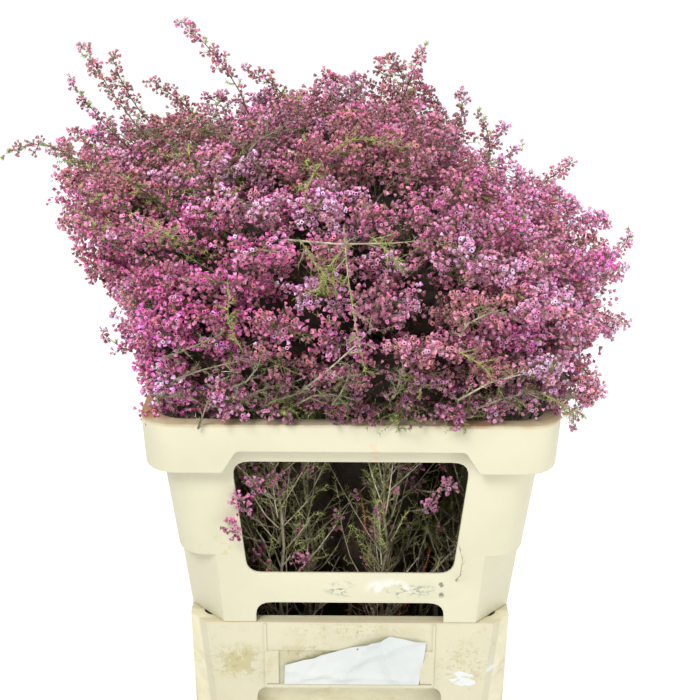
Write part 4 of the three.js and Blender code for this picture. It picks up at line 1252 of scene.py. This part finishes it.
def grow_window_shoots(heap, rng, branch, branches):
    """Single shoots that lean out of the window or hang in it, flowering or bare, and withered tufts."""
    for kind, curves in WINDOW_SHOOTS.items():
        for points in curves:
            if nearest(branches, behind_window, np.array(points[0], float)) is not branch:
                continue
            start, bend, end = through(points)
            leafy_shoots(heap, rng, start, bend, end, *WINDOW_KINDS[kind])
            if kind != "flowering":
                continue
            centre, way = (v[0] for v in curve(start, bend, end, np.linspace(0.78, 1, 9)))
            for _ in range(3):
                side = around(way, any_turn(rng, len(way)))
                out = unit(side * rng.uniform(0.4, 1.2, (len(way), 1)) + way * 0.5)
                feet = centre + out * rng.uniform(1, 7, (len(way), 1))
                add_florets(heap, rng, feet, out, 2.0, (0.05, 0.45, 0.05, -0.1, 0.0))


def grow_stem(branch, branches, materials):
    number = branch["number"]
    rng = np.random.default_rng(900 + number)
    heap = Heap()
    out, angle, hub = branch["out"], branch["angle"], branch["hub"]
    foot = level_point(FOOT_HALF, out, angle, STEM_FOOT)
    low = level_point(FOOT_HALF, out, angle, STEM_STRAIGHT)
    neck = level_point(NECK_HALF, out, angle, NECK_HEIGHT)
    middle = [mix(low, neck, s) for s in np.linspace(0.12, 1, 9)]
    upper = [fan_point(out, angle, hub * s) for s in (0.35, 0.7, 0.97)]
    path = np.array([foot, low * [1, 1, 0] + [0, 0, 60], low, *middle, *upper])
    sway = rng.normal(0, 2.6, path.shape) * [1, 1, 0]
    sway[:3] = 0
    path = path + sway
    radii = np.linspace(STEM_RADIUS, 1.4, len(path)) * np.where(path[:, 2] > 200, 0.75, 1)
    add_tubes(heap, path[None], radii, mix(BARK, PALE_BARK, rng.uniform(0, 0.8)), sides=6)
    if branch["outer"] < 0.5:
        # inner stems get a closed dark body of painted shade
        grow_painted_shade(heap, rng, low, neck)
    # long side branches, then short shoots, all with small twigs; fewer where nobody sees them
    front = low[1] < -60
    for count, first, last, lengths in ((24 if front else 5, 0.12, 0.8, (60, 130)),
                                        (28 if front else 8, 0.2, 1.12, (24, 60))):
        share = np.linspace(first, last, count) + rng.uniform(-0.03, 0.03, count)
        start = mix(low[None], neck[None], np.minimum(share, 1.05)[:, None])
        turn = any_turn(rng, count)
        outward = np.stack([np.cos(turn), np.sin(turn) * (0.5 if front else 1), np.zeros(count)], axis=1)
        length = rng.uniform(*lengths, count)[:, None]
        end = start + outward * length * rng.uniform(0.3, 1.0, count)[:, None]
        end = end + np.array([0, 0, 0.9]) * length
        end[:, :2] = keep_inside(end)
        bend = start + outward * length * 0.3 + np.array([0, 0, 0.25]) * length
        tones = mix(BARK, PALE_BARK, rng.uniform(0.4, 1.5, count)[:, None])
        paths = curve(start, bend, end, np.linspace(0, 1, 5))[0]
        add_tubes(heap, paths, (0.8, 0.66, 0.56, 0.45, 0.3), tones, sides=4)
        twig_shoots(heap, rng, start, bend, end, front)
    grow_window_shoots(heap, rng, branch, branches)
    piece = heap.build(f"heather_stem_{number:02d}", materials)
    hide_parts(f"stem_{number:02d}")
    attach(piece, "root")


set_stage()
OPEN_BELL, SIDE_BELL = model_bell("TRIFAN"), model_bell("NOTHING")
NEEDLE = model_cone(3, "NOTHING", 1)
refine(["collar_front", "collar_back"], "flared_collar", 1.2, make_collar_plastic())
refine(["tub"], "stained_tub", 0.9, make_tub_plastic())
set_material(cad_object("water"), make_water())
make_slip(make_paper())

plant_skins = make_plant_skins()
branches = list_branches()
add_strays(branches)
for branch in branches:
    grow_stem(branch, branches, plant_skins)
    grow_bloom(branch, branches, plant_skins)
